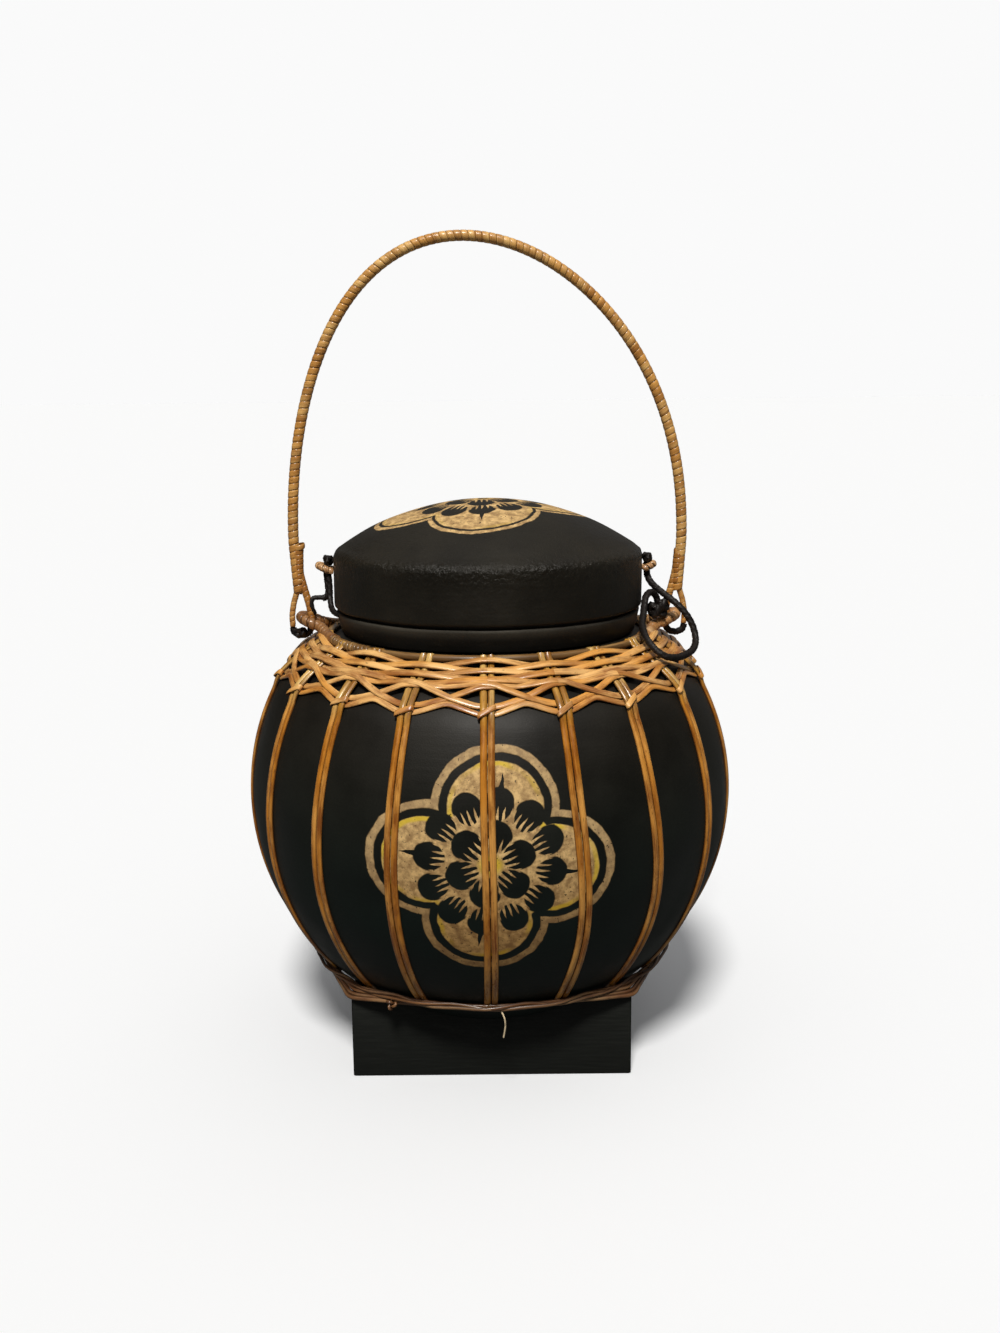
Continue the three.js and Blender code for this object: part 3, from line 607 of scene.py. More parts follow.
def half_round(width, thick, steps=9, fullness=1.0):
    """Section of a split cane, flat underneath. A fullness below 1 flattens its round top."""
    arc = [pi * k / steps for k in range(steps + 1)]
    top = [(cos(a) * width / 2, thick * (0.22 + 0.78 * max(0.0, sin(a)) ** fullness)) for a in arc]
    return [(-width * 0.43, 0), (width * 0.43, 0), *top]


def eased(share):
    """A share that leaves 0 and reaches 1 gently."""
    share = np.clip(share, 0, 1)
    return share * share * (3 - 2 * share)


def wander(places):
    """Chance values about nought that change smoothly from place to place."""
    return np.array([noise.noise(Vector(place)) for place in places])


# Fibres that run along a strand, longer patches of tone, painted crevice shade on the low sides of its
# section and a few brown flecks
rattan_fibre, given, gives = new_group("Rattan fibre", {
    "Light": (0.6, 0.35, 0.12, 1), "Warm": (0.5, 0.24, 0.06, 1), "Dark": (0.25, 0.1, 0.03, 1), "Crevice shade": 0.8,
}, ("Colour", "Height", "Patch"))
tone = node(rattan_fibre, "ShaderNodeAttribute", attribute_name="tone").outputs["Fac"]
crown = node(rattan_fibre, "ShaderNodeAttribute", attribute_name="crown").outputs["Fac"]
apart = node(rattan_fibre, "ShaderNodeCombineXYZ", {0: tone, 1: tone, 2: times(tone, 37.0)}).outputs[0]
place = vectors("ADD", node(rattan_fibre, "ShaderNodeUVMap", uv_map="along").outputs[0], apart)
fibre = mottled(place, (70, 2400, 1), 3.0)
patch = mottled(place, (55, 160, 1), 4.0, 0.6)
warmth = mottled(place, (22, 60, 3), 2.0)
fleck = mottled(place, (330, 900, 2), 2.0)
blend = times_plus(step_up(patch, 0.34, 0.64), 0.72, -0.26)
blend = times_plus(step_up(fibre, 0.3, 0.68), 0.42, blend)
blend = times_plus(tone, 0.42, blend, use_clamp=True)
light = mix_colour(step_up(warmth, 0.4, 0.62), given["Light"], given["Warm"])
deep = vectors("MULTIPLY", given["Dark"], (0.32, 0.32, 0.32))
colour = mix_colour(blend, given["Dark"], light)
# Painted crevice shade: the low sides of the section, away from its crown, are darkened towards the deep
# brown.
colour = mix_colour(times(step_down(crown, 0.2, 0.76), given["Crevice shade"]), colour, deep)
colour = mix_colour(times(step_up(fleck, 0.66, 0.76), 0.6), colour, deep)
plug(gives, {"Colour": colour, "Height": times_plus(patch, 0.6, fibre), "Patch": patch})


def rattan(name, light, warm, dark, roughness, crevice_shade, paler_above=None):
    """Varnished split rattan, which may be paler above a height, with painted crevice shade on its strands'
    low sides.
    """
    made, tree = new_material(name)
    cane = node(tree, "ShaderNodeGroup", node_tree=rattan_fibre)
    plug(cane, {"Light": (*light, 1), "Warm": (*warm, 1), "Dark": (*dark, 1), "Crevice shade": crevice_shade})
    colour, height, patch = (cane.outputs[name] for name in ("Colour", "Height", "Patch"))
    if paler_above:
        place = node(tree, "ShaderNodeTexCoord").outputs["Object"]
        level = node(tree, "ShaderNodeSeparateXYZ", {0: place}).outputs[2]
        pale = vectors("MULTIPLY", colour, (0.95, 1.25, 1.8))
        colour = mix_colour(step_up(level, paler_above - 8 * MM, paler_above + 4 * MM), colour, pale)
    gloss = ramp(patch, 0.3, 0.7, roughness - 0.07, roughness + 0.16)
    return coat(made, colour, gloss, height, 0.12 * MM,
                Specular_IOR_Level=0.4, Coat_Weight=0.45, Coat_Roughness=0.2)


def give_tone(piece, tone):
    """How light a strand is, and which stretch of the fibre pattern it shows."""
    tones = np.full(len(piece.data.vertices), tone, np.float32)
    piece.data.attributes.new("tone", "FLOAT", "POINT").data.foreach_set("value", tones)
    return piece


def join(pieces, name):
    """Joins like pieces that are one piece of the basket."""
    pick(*pieces)
    bpy.ops.object.join()
    pieces[0].name = pieces[0].data.name = name
    return pieces[0]


rib_rattan = rattan("rib_rattan", (0.83, 0.405, 0.088), (0.62, 0.238, 0.022), (0.225, 0.06, 0.006),
                    0.26, 0.92, paler_above=184 * MM)
hoop_point = on_globe(HOOP_PLACE, FIT + HOOP_WIDTH / 2)[0]
hook_radius = HOOP_WIDTH / 2 - 0.5 * MM
hook = [hoop_point + hook_radius * np.array((cos(a), sin(a))) for a in np.radians(range(155, -15, -12))]
down = np.concatenate((np.arange(13, 36, 3) * MM, np.linspace(36.5 * MM, along_at(44.5 * MM), 44)))
settled = eased((down - LEAVES_COLLAR) / (LIES_DOWN - LEAVES_COLLAR))
lie = on_globe(down, RIB_LIFT - (RIB_LIFT + RIB_SUNK) * settled)[0]
rib_line = smooth([(r, 0, z) for r, z in [*hook, *lie]], 2.2 * MM)
# How far each rib stands off its even place, in degrees, in the collar and down at the foot
RIB_STRAY = {rib: (luck.uniform(-1.3, 1.3), luck.uniform(-1.3, 1.3)) for rib in range(RIBS)}
RIB_STRAY.update({15: (0.7, -0.6), 16: (0.6, -1.4), 17: (-0.2, -1.6), 0: (0, 0.2), 1: (-1.1, 1.6),
                  2: (-2.4, 1.1), 3: (-1.6, 0.5)})
RIB_TURNS = range(-3, RIBS + 4)
RIB_PLACES = [rib * RIB_PITCH + radians(RIB_STRAY[rib % RIBS][0]) for rib in RIB_TURNS]


def rib_azimuth(turn):
    """Azimuth in the collar of a place counted in ribs."""
    return np.interp(turn, RIB_TURNS, RIB_PLACES)


steps = range(len(rib_line))
lean = eased((LEANS_BELOW - rib_line[:, 2]) / LEANS_OVER)
for rib in range(RIBS):
    high, low = RIB_STRAY[rib]
    azimuth = rib * RIB_PITCH + np.radians(high + (low - high) * lean)
    sides = turned_to(azimuth + pi / 2, 1, 0)
    waver = wander([(k * 0.04, rib * 3.1, 5.7) for k in steps]) * WAVER
    strands = []
    for hand in (-1, 1):
        sway = wander([(k * 0.06, rib * 3.1, hand * 5.7) for k in steps]) * SWAY
        apart = hand * RIB_SPACING / 2 + waver + sway
        run = turned_to(azimuth, rib_line[:, 0], rib_line[:, 2]) + sides * apart[:, None]
        widths = 1 + WIDTH_CHANGE * wander([(k * 0.05, rib, hand * 9.1) for k in steps])
        section = half_round(RIB_STRAND, RIB_THICK, 9, 1.1)
        strand = swept(f"rib_strand_{rib}_{hand}", run, section, sides=-sides, widths=widths)
        strands.append(give_tone(strand, luck.uniform(0.2, 0.65) + (0.25 if hand < 0 else 0.0)))
    pair = join(strands, f"rib_pair_{rib + 1:02d}")
    pair.data.materials.append(rib_rattan)
    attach(pair, "basket")
    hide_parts(f"rib_{rib + 1:02d}")

# Woven collar
# Nine split strands are woven round the ribs below the hoop: five rows of plain weave, three that
# are plaited as an open border, and a binder that ties each pair of ribs down.
collar_rattan = rattan("collar_rattan", (0.98, 0.58, 0.21), (0.82, 0.38, 0.075), (0.31, 0.10, 0.018),
                       0.32, 0.92)
STRAND_WIDTH = 3.0 * MM
WEAVE_STEPS = 24
ROW_SWAY, STRAND_CHANGE = 0.09, 0.13
UNDER = FIT / MM
OVER = (RIB_LIFT + RIB_THICK + FIT) / MM


def carry(keys, values, at):
    """Values carried smoothly from key to key, with no overshoot."""
    gaps = np.diff(keys)
    slopes = np.diff(values) / gaps
    product, total = slopes[1:] * slopes[:-1], slopes[1:] + slopes[:-1]
    tangents = np.zeros(len(keys))
    tangents[1:-1] = np.where(product > 0, 2 * product / np.where(product > 0, total, 1), 0)
    i = np.clip(np.searchsorted(keys, at, side="right") - 1, 0, len(gaps) - 1)
    t = (at - keys[i]) / gaps[i]
    return (
        values[i] * (1 + 2 * t) * (1 - t) ** 2 + tangents[i] * gaps[i] * t * (1 - t) ** 2
        + values[i + 1] * t * t * (3 - 2 * t) + tangents[i + 1] * gaps[i] * t * t * (t - 1)
    )


def pulled(keys, values, at):
    """Values along straight runs from key to key, eased a little at each bend."""
    weights = {-0.06: 1, -0.03: 2, 0: 3, 0.03: 2, 0.06: 1}
    total = sum(weight * np.interp(at + shift, keys, values) for shift, weight in weights.items())
    return total / sum(weights.values())


def on_ring(azimuth, seed):
    """Places on a ring, to read noise at that meets itself after one round."""
    return np.stack([np.cos(azimuth), np.sin(azimuth), np.full(len(azimuth), seed)], 1)


def woven(name, route, repeat, shift, width, run, seed):
    """A strand once round the globe. A route lists (turn, row, lift) for one repeat of the weave:
    rib pitches from a rib, strand widths down from the mouth, and millimetres off it."""
    starts = range(-repeat, RIBS + repeat, repeat)
    keys = np.array([(start + turn, row, lift) for start in starts for turn, row, lift in route])
    turns = np.arange(RIBS * WEAVE_STEPS) / WEAVE_STEPS
    rows, lifts = (run(keys[:, 0], keys[:, k], turns) for k in (1, 2))
    azimuths = rib_azimuth(turns + shift)
    ring = on_ring(azimuths, seed)
    widths = 1 + STRAND_CHANGE * wander(ring * 5.3 + (0, 0, 7.7))
    rows = rows + ROW_SWAY * wander(ring * 4.2)
    points, outs = laid_round(azimuths, rows * STRAND_WIDTH, lifts * MM)
    section = half_round(width, width * 0.34, 9, 0.55)
    return swept(name, points, section, outs=outs, closed=True, widths=widths)


def rib_wrap(rib):
    """The binder's slanting turn round a pair of ribs."""
    azimuth = rib_azimuth(rib) + luck.uniform(-0.004, 0.004)
    row = BINDER_ROW + luck.uniform(-0.15, 0.15)
    middle, out = laid_round(azimuth, row * STRAND_WIDTH, RIB_LIFT + RIB_THICK / 2)
    across = turned_to(azimuth + pi / 2, 1, 0)
    up = np.cross(out, across)
    slant = luck.uniform(1.5, 2.3) * MM
    around = np.linspace(0, 2 * pi, 33)[:-1]
    c, s = np.cos(around)[:, None], np.sin(around)[:, None]
    wide, deep = np.sign(c) * np.abs(c) ** 0.6, np.sign(s) * np.abs(s) ** 0.6
    points = middle + across * wide * WRAP_HALF + out * deep * RIB_THICK * 0.55 + up * (wide * slant)
    section = half_round(BINDER_WIDTH, 0.6 * MM, 6, 0.5)
    turn = swept(f"rib_wrap_{rib}", points, section, outs=across * c * 0.4 + out * s, closed=True)
    return give_tone(turn, luck.uniform(0.3, 1.0))


ROWS = ((3.5, 3.95), (4.5, 4.62), (5.42, 5.52), (6.32, 6.42), (7.2, 7.3))
ROW_WIDTHS = (3.4, 3.7, 3.5, 3.8, 3.6)
BORDER_WIDTH, BINDER_WIDTH, WRAP_HALF = 3.1 * MM, 2.7 * MM, 3.45 * MM
BINDER_ROW, BINDER_DIP = 12.55, 11.05
BORDER_ROUTE = [
    (-0.08, 8.0, 3.7), (0.1, 8.2, 3.5), (0.5, 10.05, 1.9), (0.86, 11.2, UNDER), (1.14, 11.25, UNDER),
    (1.5, 10.1, 1.1), (1.88, 8.55, OVER), (2.08, 8.35, OVER - 0.3), (2.4, 8.05, 1.1), (2.7, 7.95, 2.2),
]
BINDER_ROUTE = [
    (-0.1, BINDER_ROW, UNDER), (0.1, BINDER_ROW, UNDER), (0.46, BINDER_DIP, 1.0), (0.54, BINDER_DIP, 1.0),
]
COLLAR = {}
for row, ((over, under), width) in enumerate(zip(ROWS, ROW_WIDTHS)):
    crest = OVER + (1.0 if row == 0 else 0)
    COLLAR[f"row_{row + 1}"] = ([(0, over, crest), (1, under, UNDER)], 2, row % 2, width * MM, carry)
for strand in range(3):
    COLLAR[f"border_{strand + 1}"] = (BORDER_ROUTE, 3, strand, BORDER_WIDTH, pulled)
COLLAR["binder"] = (BINDER_ROUTE, 1, 0, BINDER_WIDTH, pulled)
for number, (name, weave) in enumerate(COLLAR.items()):
    strand = give_tone(woven(f"strand_{name}", *weave, seed=number * 2.3), luck.uniform(0.2, 0.95))
    if name == "binder":
        strand = join([strand, *(rib_wrap(rib) for rib in range(RIBS))], name)
    strand.data.materials.append(collar_rattan)
    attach(strand, "basket")
    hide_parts(f"collar_{name}")

# Foot twining and lashing
# Two strands are twined round the ribs' lower ends. Others lie under them and are pulled out tight
# round the foot's corners, which ties the cage to the foot. A pale end hangs down in front, and a
# small knot sits to its left.
foot_rattan = rattan("foot_rattan", (0.35, 0.205, 0.095), (0.28, 0.125, 0.042), (0.13, 0.052, 0.02),
                     0.42, 0.9)
end_pale = rattan("end_pale", (0.86, 0.72, 0.50), (0.80, 0.62, 0.38), (0.55, 0.40, 0.22), 0.5, 0.4)
FOOT_STRAND, TWINE_HALF = 1.8 * MM, 0.85 * MM
TWINE_PLACE = along_at(46.9 * MM)
LASHING_WIDTH = 2.2 * MM
LASHING_RING, LASHING_REST = (88.2 * MM, 46.0 * MM), (86.3 * MM, 43.4 * MM)
CORNER = (FOOT_HALF * sqrt(2) + LASHING_WIDTH / 2 + 0.1 * MM, 40.7 * MM)


def turns_round(count):
    """Even steps of one whole turn, without the last, which is the first again."""
    return np.linspace(0, 2 * pi, count + 1)[:-1]


def round_section(width, sides=14):
    """Section of a whole cane or a core."""
    return [(width / 2 * cos(a), width / 2 * sin(a)) for a in turns_round(sides)]


def twined(name, phase, seed):
    """One of two strands that are twisted round each other over the ribs' lower ends."""
    around = turns_round(720)
    over_rib = 0.5 + 0.5 * np.cos(around * RIBS)
    twist = around * RIBS / 2 + phase + 0.9 * wander(on_ring(around, seed) * 2.2)
    lift = (0.9 + 1.1 * over_rib) * MM + TWINE_HALF * (1 + np.sin(twist))
    points, outs = laid_round(around, TWINE_PLACE + TWINE_HALF * np.cos(twist), lift)
    return swept(name, points, half_round(FOOT_STRAND, 1.3 * MM, 9, 0.7), outs=outs, closed=True)


def lashed(name, share, width, seed):
    """A strand that runs straight from the ring to a corner of the foot and back. The share is how
    far out it is pulled: 1 reaches round the corner itself."""
    ring, rest, corner = (np.array(place) for place in (LASHING_RING, LASHING_REST, CORNER))
    rest, corner = ring + (rest - ring) * share, ring + (corner - ring) * share
    reach = np.arccos(rest[0] / corner[0])
    around = turns_round(720)
    off = np.abs((around + pi / 2) % (pi / 2) - pi / 4)
    pull = np.maximum(0, reach - off)
    stray = wander(on_ring(around, seed) * 5) * (off > 0.08) * 0.7 * MM
    radius = rest[0] / np.cos(pull)
    height = rest[1] + (corner[1] - rest[1]) * np.tan(pull) / np.tan(reach) + stray
    soft = np.ones(9) / 9
    radius, height = (np.convolve((*run[-4:], *run, *run[:4]), soft, "valid") for run in (radius, height))
    outs = turned_to(around, 0.8, -0.6)
    return swept(name, turned_to(around, radius, height), round_section(width, 10), outs=outs, closed=True)


def lobed(centre, half, order=(0, 1, 2)):
    """A closed run, in millimetres, whose three lobes cross as in an overhand knot pulled tight."""
    turn = turns_round(24)
    lobes = np.stack([(np.sin(turn) + 2 * np.sin(2 * turn)) / 3, (np.cos(turn) - 2 * np.cos(2 * turn)) / 3,
                      -np.sin(3 * turn)])
    return (lobes[list(order)].T * half + centre) * MM


UPRIGHT = (0, 2, 1)
end_run = np.array([(4.6, -88.5, 43.2), (6.0, -90.0, 40.5), (6.4, -89.6, 36.5), (5.6, -88.8, 30.5)]) * MM
loose_end = give_tone(swept("loose_end", smooth(end_run, 0.8 * MM), round_section(0.8 * MM, 8)), 3.4)
knot_run = smooth(lobed((-46.2, -76.6, 41.6), (2.2, 1.6, 2.2), UPRIGHT), 0.5 * MM, closed=True)
lashing_knot = give_tone(swept("lashing_knot", knot_run, round_section(1.5 * MM, 10), closed=True), 0.05)
parts = [give_tone(lashed("lashing", 1.0, LASHING_WIDTH, 3.0), 0.45)]
for strand, (share, tone) in enumerate(((0.75, 0.25), (0.5, 0.5), (0.25, 0.2))):
    parts.append(give_tone(lashed(f"lashing_{strand}", share, 1.7 * MM, 5.0 + strand), tone))
parts += [loose_end, lashing_knot]
for part in parts:
    part.data.materials.append(end_pale if part is loose_end else foot_rattan)
pieces = {
    "foot_twine_1": give_tone(twined("twine_1", 0, 40.0), 0.45),
    "foot_twine_2": give_tone(twined("twine_2", pi, 43.0), 0.25),
    "foot_lashing": join(parts, "lashing"),
}
for cad_name, piece in pieces.items():
    if not piece.data.materials:
        piece.data.materials.append(foot_rattan)
    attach(piece, "basket")
    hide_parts(cad_name)

# Top hoop and ears
# A whole cane makes the hoop, which the ribs hook over. Each ear is a bent cane that runs into the
# hoop on both sides. A split strand is wound over it, and on along the hoop.
hoop_cane = rattan("hoop_cane", (0.40, 0.235, 0.08), (0.34, 0.17, 0.045), (0.17, 0.085, 0.026), 0.45, 0.6)
EAR_HALF, EAR_LENGTH = 7.4 * MM, 12.9 * MM
EAR_ROOT, EAR_SLOPE = (80.06 * MM, 206.5 * MM), radians(21.7)
EAR_WRAP = dict(pitch=3.1 * MM, strand=3.05 * MM, thick=0.62 * MM)
HOOP_WRAP = dict(core=HOOP_WIDTH, pitch=3.0 * MM, strand=2.6 * MM, thick=0.8 * MM)
# Degrees round the hoop from an ear: where its cane joins, and where the winding ends on each side
EAR_JOIN, WRAP_ENDS = 19, {-1: (43, 46), 1: (24, 30)}
ARM_PLACES = (EAR_JOIN + 2, 0, 0.4 * MM), (EAR_JOIN - 5, 1.1 * MM, 0.5 * MM)
SIDES = {-1: "left", 1: "right"}
hoop_radius, hoop_height = hoop_point


def cane_loop(side, root, half, length):
    """The centre line of a U of cane that reaches out from its root and rises as the ears do."""
    reach = [(0, -half), (length * 0.25, -half)]
    reach += [(length - half * (1 - cos(a)), half * sin(a)) for a in np.radians(np.linspace(-75, 75, 9))]
    reach += [(length * 0.25, half), (0, half)]
    rise = (cos(EAR_SLOPE), sin(EAR_SLOPE))
    return smooth([(side * (root[0] + r * rise[0]), a, root[1] + r * rise[1]) for r, a in reach], 0.6 * MM)


def wound(name, line, core, pitch, strand, thick, tone):
    """A split strand wound round a cane from end to end."""
    gone = gone_along(line)
    ahead = heading(line)
    outs = untwisted(ahead)
    at = np.linspace(0, gone[-1], int(gone[-1] / pitch * 18) + 1)
    centre, out, side = (read_off(at, gone, run) for run in (line, outs, np.cross(ahead, outs)))
    wobble = wander([(s / (7 * MM), tone * 31, 0) for s in at]) * 0.5
    turn = (at / pitch * 2 * pi + wobble)[:, None]
    radial = out * np.cos(turn) + side * np.sin(turn)
    section = half_round(strand, thick, 6, 0.6)
    return give_tone(swept(name, centre + radial * (core / 2 - 0.12 * MM), section, outs=radial), tone)


def wrapped(name, line, core, pitch, strand, thick, tone):
    """A cane with a split strand wound round it from end to end."""
    bare = give_tone(swept(name + "_core", line, round_section(core, 12)), tone * 0.6)
    return join([wound(name + "_wrap", line, core, pitch, strand, thick, tone), bare], name)


def beside_ear(side, hand, degrees, out=0.0, up=0.0):
    """Places on the hoop, in degrees round it from an ear, and off it outwards and upwards."""
    turn, radius = np.radians(degrees), hoop_radius + out
    place = side * radius * np.cos(turn), hand * radius * np.sin(turn), hoop_height + up
    return np.stack(np.broadcast_arrays(*place), -1)


hoop_run = turned_to(turns_round(RIBS * WEAVE_STEPS), hoop_radius, hoop_height)
hoop_pieces = [give_tone(swept("top_hoop", hoop_run, round_section(HOOP_WIDTH), closed=True), 0.5)]
for side, ends in WRAP_ENDS.items():
    for hand, past in zip((-1, 1), ends):
        arc = beside_ear(side, hand, np.linspace(EAR_JOIN - 4, past + 4, 60))
        hoop_pieces.append(wound("hoop_wrap", arc, **HOOP_WRAP, tone=0.12 if side < 0 else 0.5))
top_hoop = join(hoop_pieces, "top_hoop")
top_hoop.data.materials.append(hoop_cane)
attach(top_hoop, "basket")
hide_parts("collar_hoop")

ear_brown = rattan("ear_brown", (0.42, 0.22, 0.085), (0.36, 0.16, 0.045), (0.2, 0.08, 0.025), 0.4, 0.9)
ear_pale = rattan("ear_pale", (0.80, 0.50, 0.24), (0.68, 0.36, 0.13), (0.28, 0.11, 0.035), 0.36, 0.95)
for side, core, tone, cane in ((-1, 4.3 * MM, 0.35, ear_brown), (1, 4.5 * MM, 0.75, ear_pale)):
    name = SIDES[side]
    loop = cane_loop(side, EAR_ROOT, EAR_HALF, EAR_LENGTH)
    front, back = ([beside_ear(side, hand, *place) for place in ARM_PLACES] for hand in (-1, 1))
    line = smooth([*front, *loop[4:-4:3], *back[::-1]], 0.6 * MM)
    ear = wrapped(f"ear_loop_{name}", line, core, **EAR_WRAP, tone=tone)
    ear.data.materials.append(cane)
    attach(ear, "basket")
    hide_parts(f"ear_{name}")

# Lid
# The lid is a bent rim with a domed top, lacquered over as one. Its shoulder is rough with ash
# filler, and its top carries the same rosette as the globe. Its profile is in millimetres.
DOME_RADIUS, LID_TOP, LID_WALL = 126, 268.3, 3.5
LID_RADIUS, SHOULDER_RADIUS = 75, 71


def lid_height(radius, wall=0.0):
    """Height of the dome at a radius, or of its underside."""
    return LID_TOP - DOME_RADIUS + sqrt((DOME_RADIUS - wall) ** 2 - radius ** 2)


def lid_plane(level):
    """The rosette's plane on the lid, seen from above."""
    across, back = plus(level[0], 2.2 * MM), times_plus(level[0], -0.16, level[1])
    return painted_at(across, back, radians(-2.5), 52 * MM, 52 * MM)


def lid_outside(co):
    """1 on the lid's outer face, 0 inside it."""
    return co.z > 236 * MM or hypot(co.x, co.y) > 73 * MM


def lid_shoulder(co):
    """1 at the height where the filler is roughest, falling to 0 within 4 mm of it."""
    return max(0.0, 1 - abs(co.z - 243.5 * MM) / (4 * MM)) * (hypot(co.x, co.y) > 69 * MM)


lid_lacquer = lacquered("lid_lacquer", (0.0145, 0.0124, 0.0084), (0.0110, 0.0094, 0.0062),
                        low=215 * MM, high=250 * MM, bump=0.34 * MM, coil=0.6, painted=lid_plane,
                        band=0.042, gap=0.03, gilt=0.2, rough_rim=245 * MM)
rim_top = (SHOULDER_RADIUS, lid_height(SHOULDER_RADIUS))
lid_profile = np.array([
    *((r, lid_height(r, LID_WALL)) for r in (0, *range(8, 67, 6))),
    (66.5, 237.6), (67, 237.3), (71.8, 237.3), (71.8, 218.3), (72.4, 217.5), (73.2, 217.3),
    (74.3, 217.5), (74.9, 218.2), (LID_RADIUS, 219.2), *((LID_RADIUS, z) for z in range(221, 241, 2)),
    *bowed((LID_RADIUS, 241.3), (LID_RADIUS, 243.9), rim_top, 9),
    *((r, lid_height(r)) for r in np.linspace(69, 2.5, 30)), (0, LID_TOP),
]) * MM
lid = turned("lid_shell", lid_profile, 150, 50)
work_by_hand(lid, amount=0.35 * MM, size=22 * MM, seed=19.0, weight=lid_outside)
work_by_hand(lid, amount=0.5 * MM, size=2.6 * MM, seed=5.0, weight=lid_shoulder)
lid.data.materials.append(lid_lacquer)
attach(lid, "lid")
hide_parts("lid_dome", "lid_skirt")

# Lid loops
# Two small loops of bent cane are fixed to the lid's rim, left and right. Each is wound with a few
# turns of pale split strand and takes the knot of a cord.
LOOP_HALF, LOOP_ROOT = 3.7 * MM, (75.9 * MM, 233.8 * MM)
LOOP_WRAP = dict(core=2.5 * MM, pitch=2.5 * MM, strand=2.3 * MM, thick=0.65 * MM)
for side, length in ((-1, 7.4 * MM), (1, 5.4 * MM)):
    name = SIDES[side]
    line = cane_loop(side, LOOP_ROOT, LOOP_HALF, length)
    loop = wrapped(f"small_loop_{name}", line, **LOOP_WRAP, tone=0.8)
    loop.data.materials.append(ear_pale)
    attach(loop, "lid")
    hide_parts(f"lid_loop_{name}")

# Bail
# A bent cane, wound from end to end with a split strand. Each end is split into two legs that
# straddle an ear, and bound above them.
bail_rattan = rattan("bail_rattan", (0.92, 0.56, 0.19), (0.78, 0.39, 0.09), (0.42, 0.17, 0.035), 0.34, 0.9)
PIVOT = (92.0 * MM, 211.3 * MM)
FORK_Z, SPRING_Z = PIVOT[1] + 13 * MM, PIVOT[1] + 39 * MM
BAIL_RISE, BAIL_BOW, BAIL_LEAN = 140.6 * MM, 2.5 * MM, 10.8 * MM
LEG_OFFSET = 4.55 * MM
ARCH_WRAP = dict(core=4.6 * MM, pitch=3.3 * MM, strand=3.24 * MM, thick=0.42 * MM)
BINDING_WRAP = dict(core=4.9 * MM, pitch=2.4 * MM, strand=2.38 * MM, thick=0.3 * MM)
LEG_WRAP = dict(pitch=2.5 * MM, strand=2.45 * MM, thick=0.3 * MM)
# Places of the bindings above the forks, in millimetres: off the pivot outwards, and the height
BINDINGS = {-1: [(0.3, 245.2), (0.5, 242), (0.6, 238), (0.7, 232), (0.5, 227.5)],
            1: [(1.5, 242), (1.3, 239.5), (1.0, 236), (0.8, 232), (0.5, 227.5)]}


def bail_point(angle):
    """A point on the arch, a squared ellipse that leans to the left."""
    rise = sin(angle) ** (2 / 2.1) if 0 < angle < pi else 0.0
    x = -BAIL_LEAN * rise ** 2.35 - (PIVOT[0] + BAIL_BOW) * cos(angle)
    return (x, 0, SPRING_Z + BAIL_RISE * rise)


def leg_line(side, inward):
    """The centre line of one leg of a fork, the one inside or the one outside its ear."""
    x = PIVOT[0] - inward * LEG_OFFSET - max(inward, 0) * 0.3 * MM
    points = [
        (x + inward * 0.2 * MM, PIVOT[1] - 5 * MM), (x, PIVOT[1]), (x + inward * 0.9 * MM, PIVOT[1] + 6 * MM),
        (x + inward * 3 * MM, FORK_Z + 1 * MM), (PIVOT[0] + (1 - inward * 1.1) * MM, FORK_Z + 9 * MM),
        (PIVOT[0] + (1.6 - inward * 0.8) * MM, FORK_Z + 19 * MM),
    ]
    return smooth([(side * x, 0, z) for x, z in points], 0.8 * MM)


ends = [(PIVOT[0] + 0.8 * MM, 0, FORK_Z - 1 * MM), (PIVOT[0] + 1.8 * MM, 0, (FORK_Z + SPRING_Z) / 2)]
arch = [bail_point(pi * k / 24) for k in range(25)]
bail_line = smooth([*((-x, y, z) for x, y, z in ends), *arch, *ends[::-1]], 1.2 * MM)
bail_parts = [wrapped("bail_arch", bail_line, **ARCH_WRAP, tone=0.5)]
for side in SIDES:
    bound = smooth([(side * (PIVOT[0] + x * MM), 0, z * MM) for x, z in BINDINGS[side]], 0.8 * MM)
    bail_parts.append(wrapped(f"binding_{side}", bound, **BINDING_WRAP, tone=-0.25))
    if side < 0:
        turn = turns_round(24)
        outs = on_ring(turn, 0)
        ring = outs * 2.2 * MM + (0.1 * MM - PIVOT[0], 0, 245.6 * MM)
        ring[:, 2] += 0.7 * MM * np.sin(turn + 1)
        end = swept("binding_end", ring, half_round(2.8 * MM, 0.7 * MM, 6), outs=outs, closed=True)
        bail_parts.append(give_tone(end, 0.45))
    for inward in (1, -1):
        line, core = leg_line(side, inward), (2.9 + inward * 0.35) * MM
        # The left fork's legs are a darker tone than the right's. Each inner leg is painted a little darker
        # again, as painted shade in the recess between the ear and the neck.
        tone = side * 0.2 - 0.2 - inward * 0.1
        bail_parts.append(wrapped(f"leg_{side}_{inward}", line, core, **LEG_WRAP, tone=tone))
bail = join(bail_parts, "bail")
bail.data.materials.append(bail_rattan)
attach(bail, "bail")
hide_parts("bail_handle")

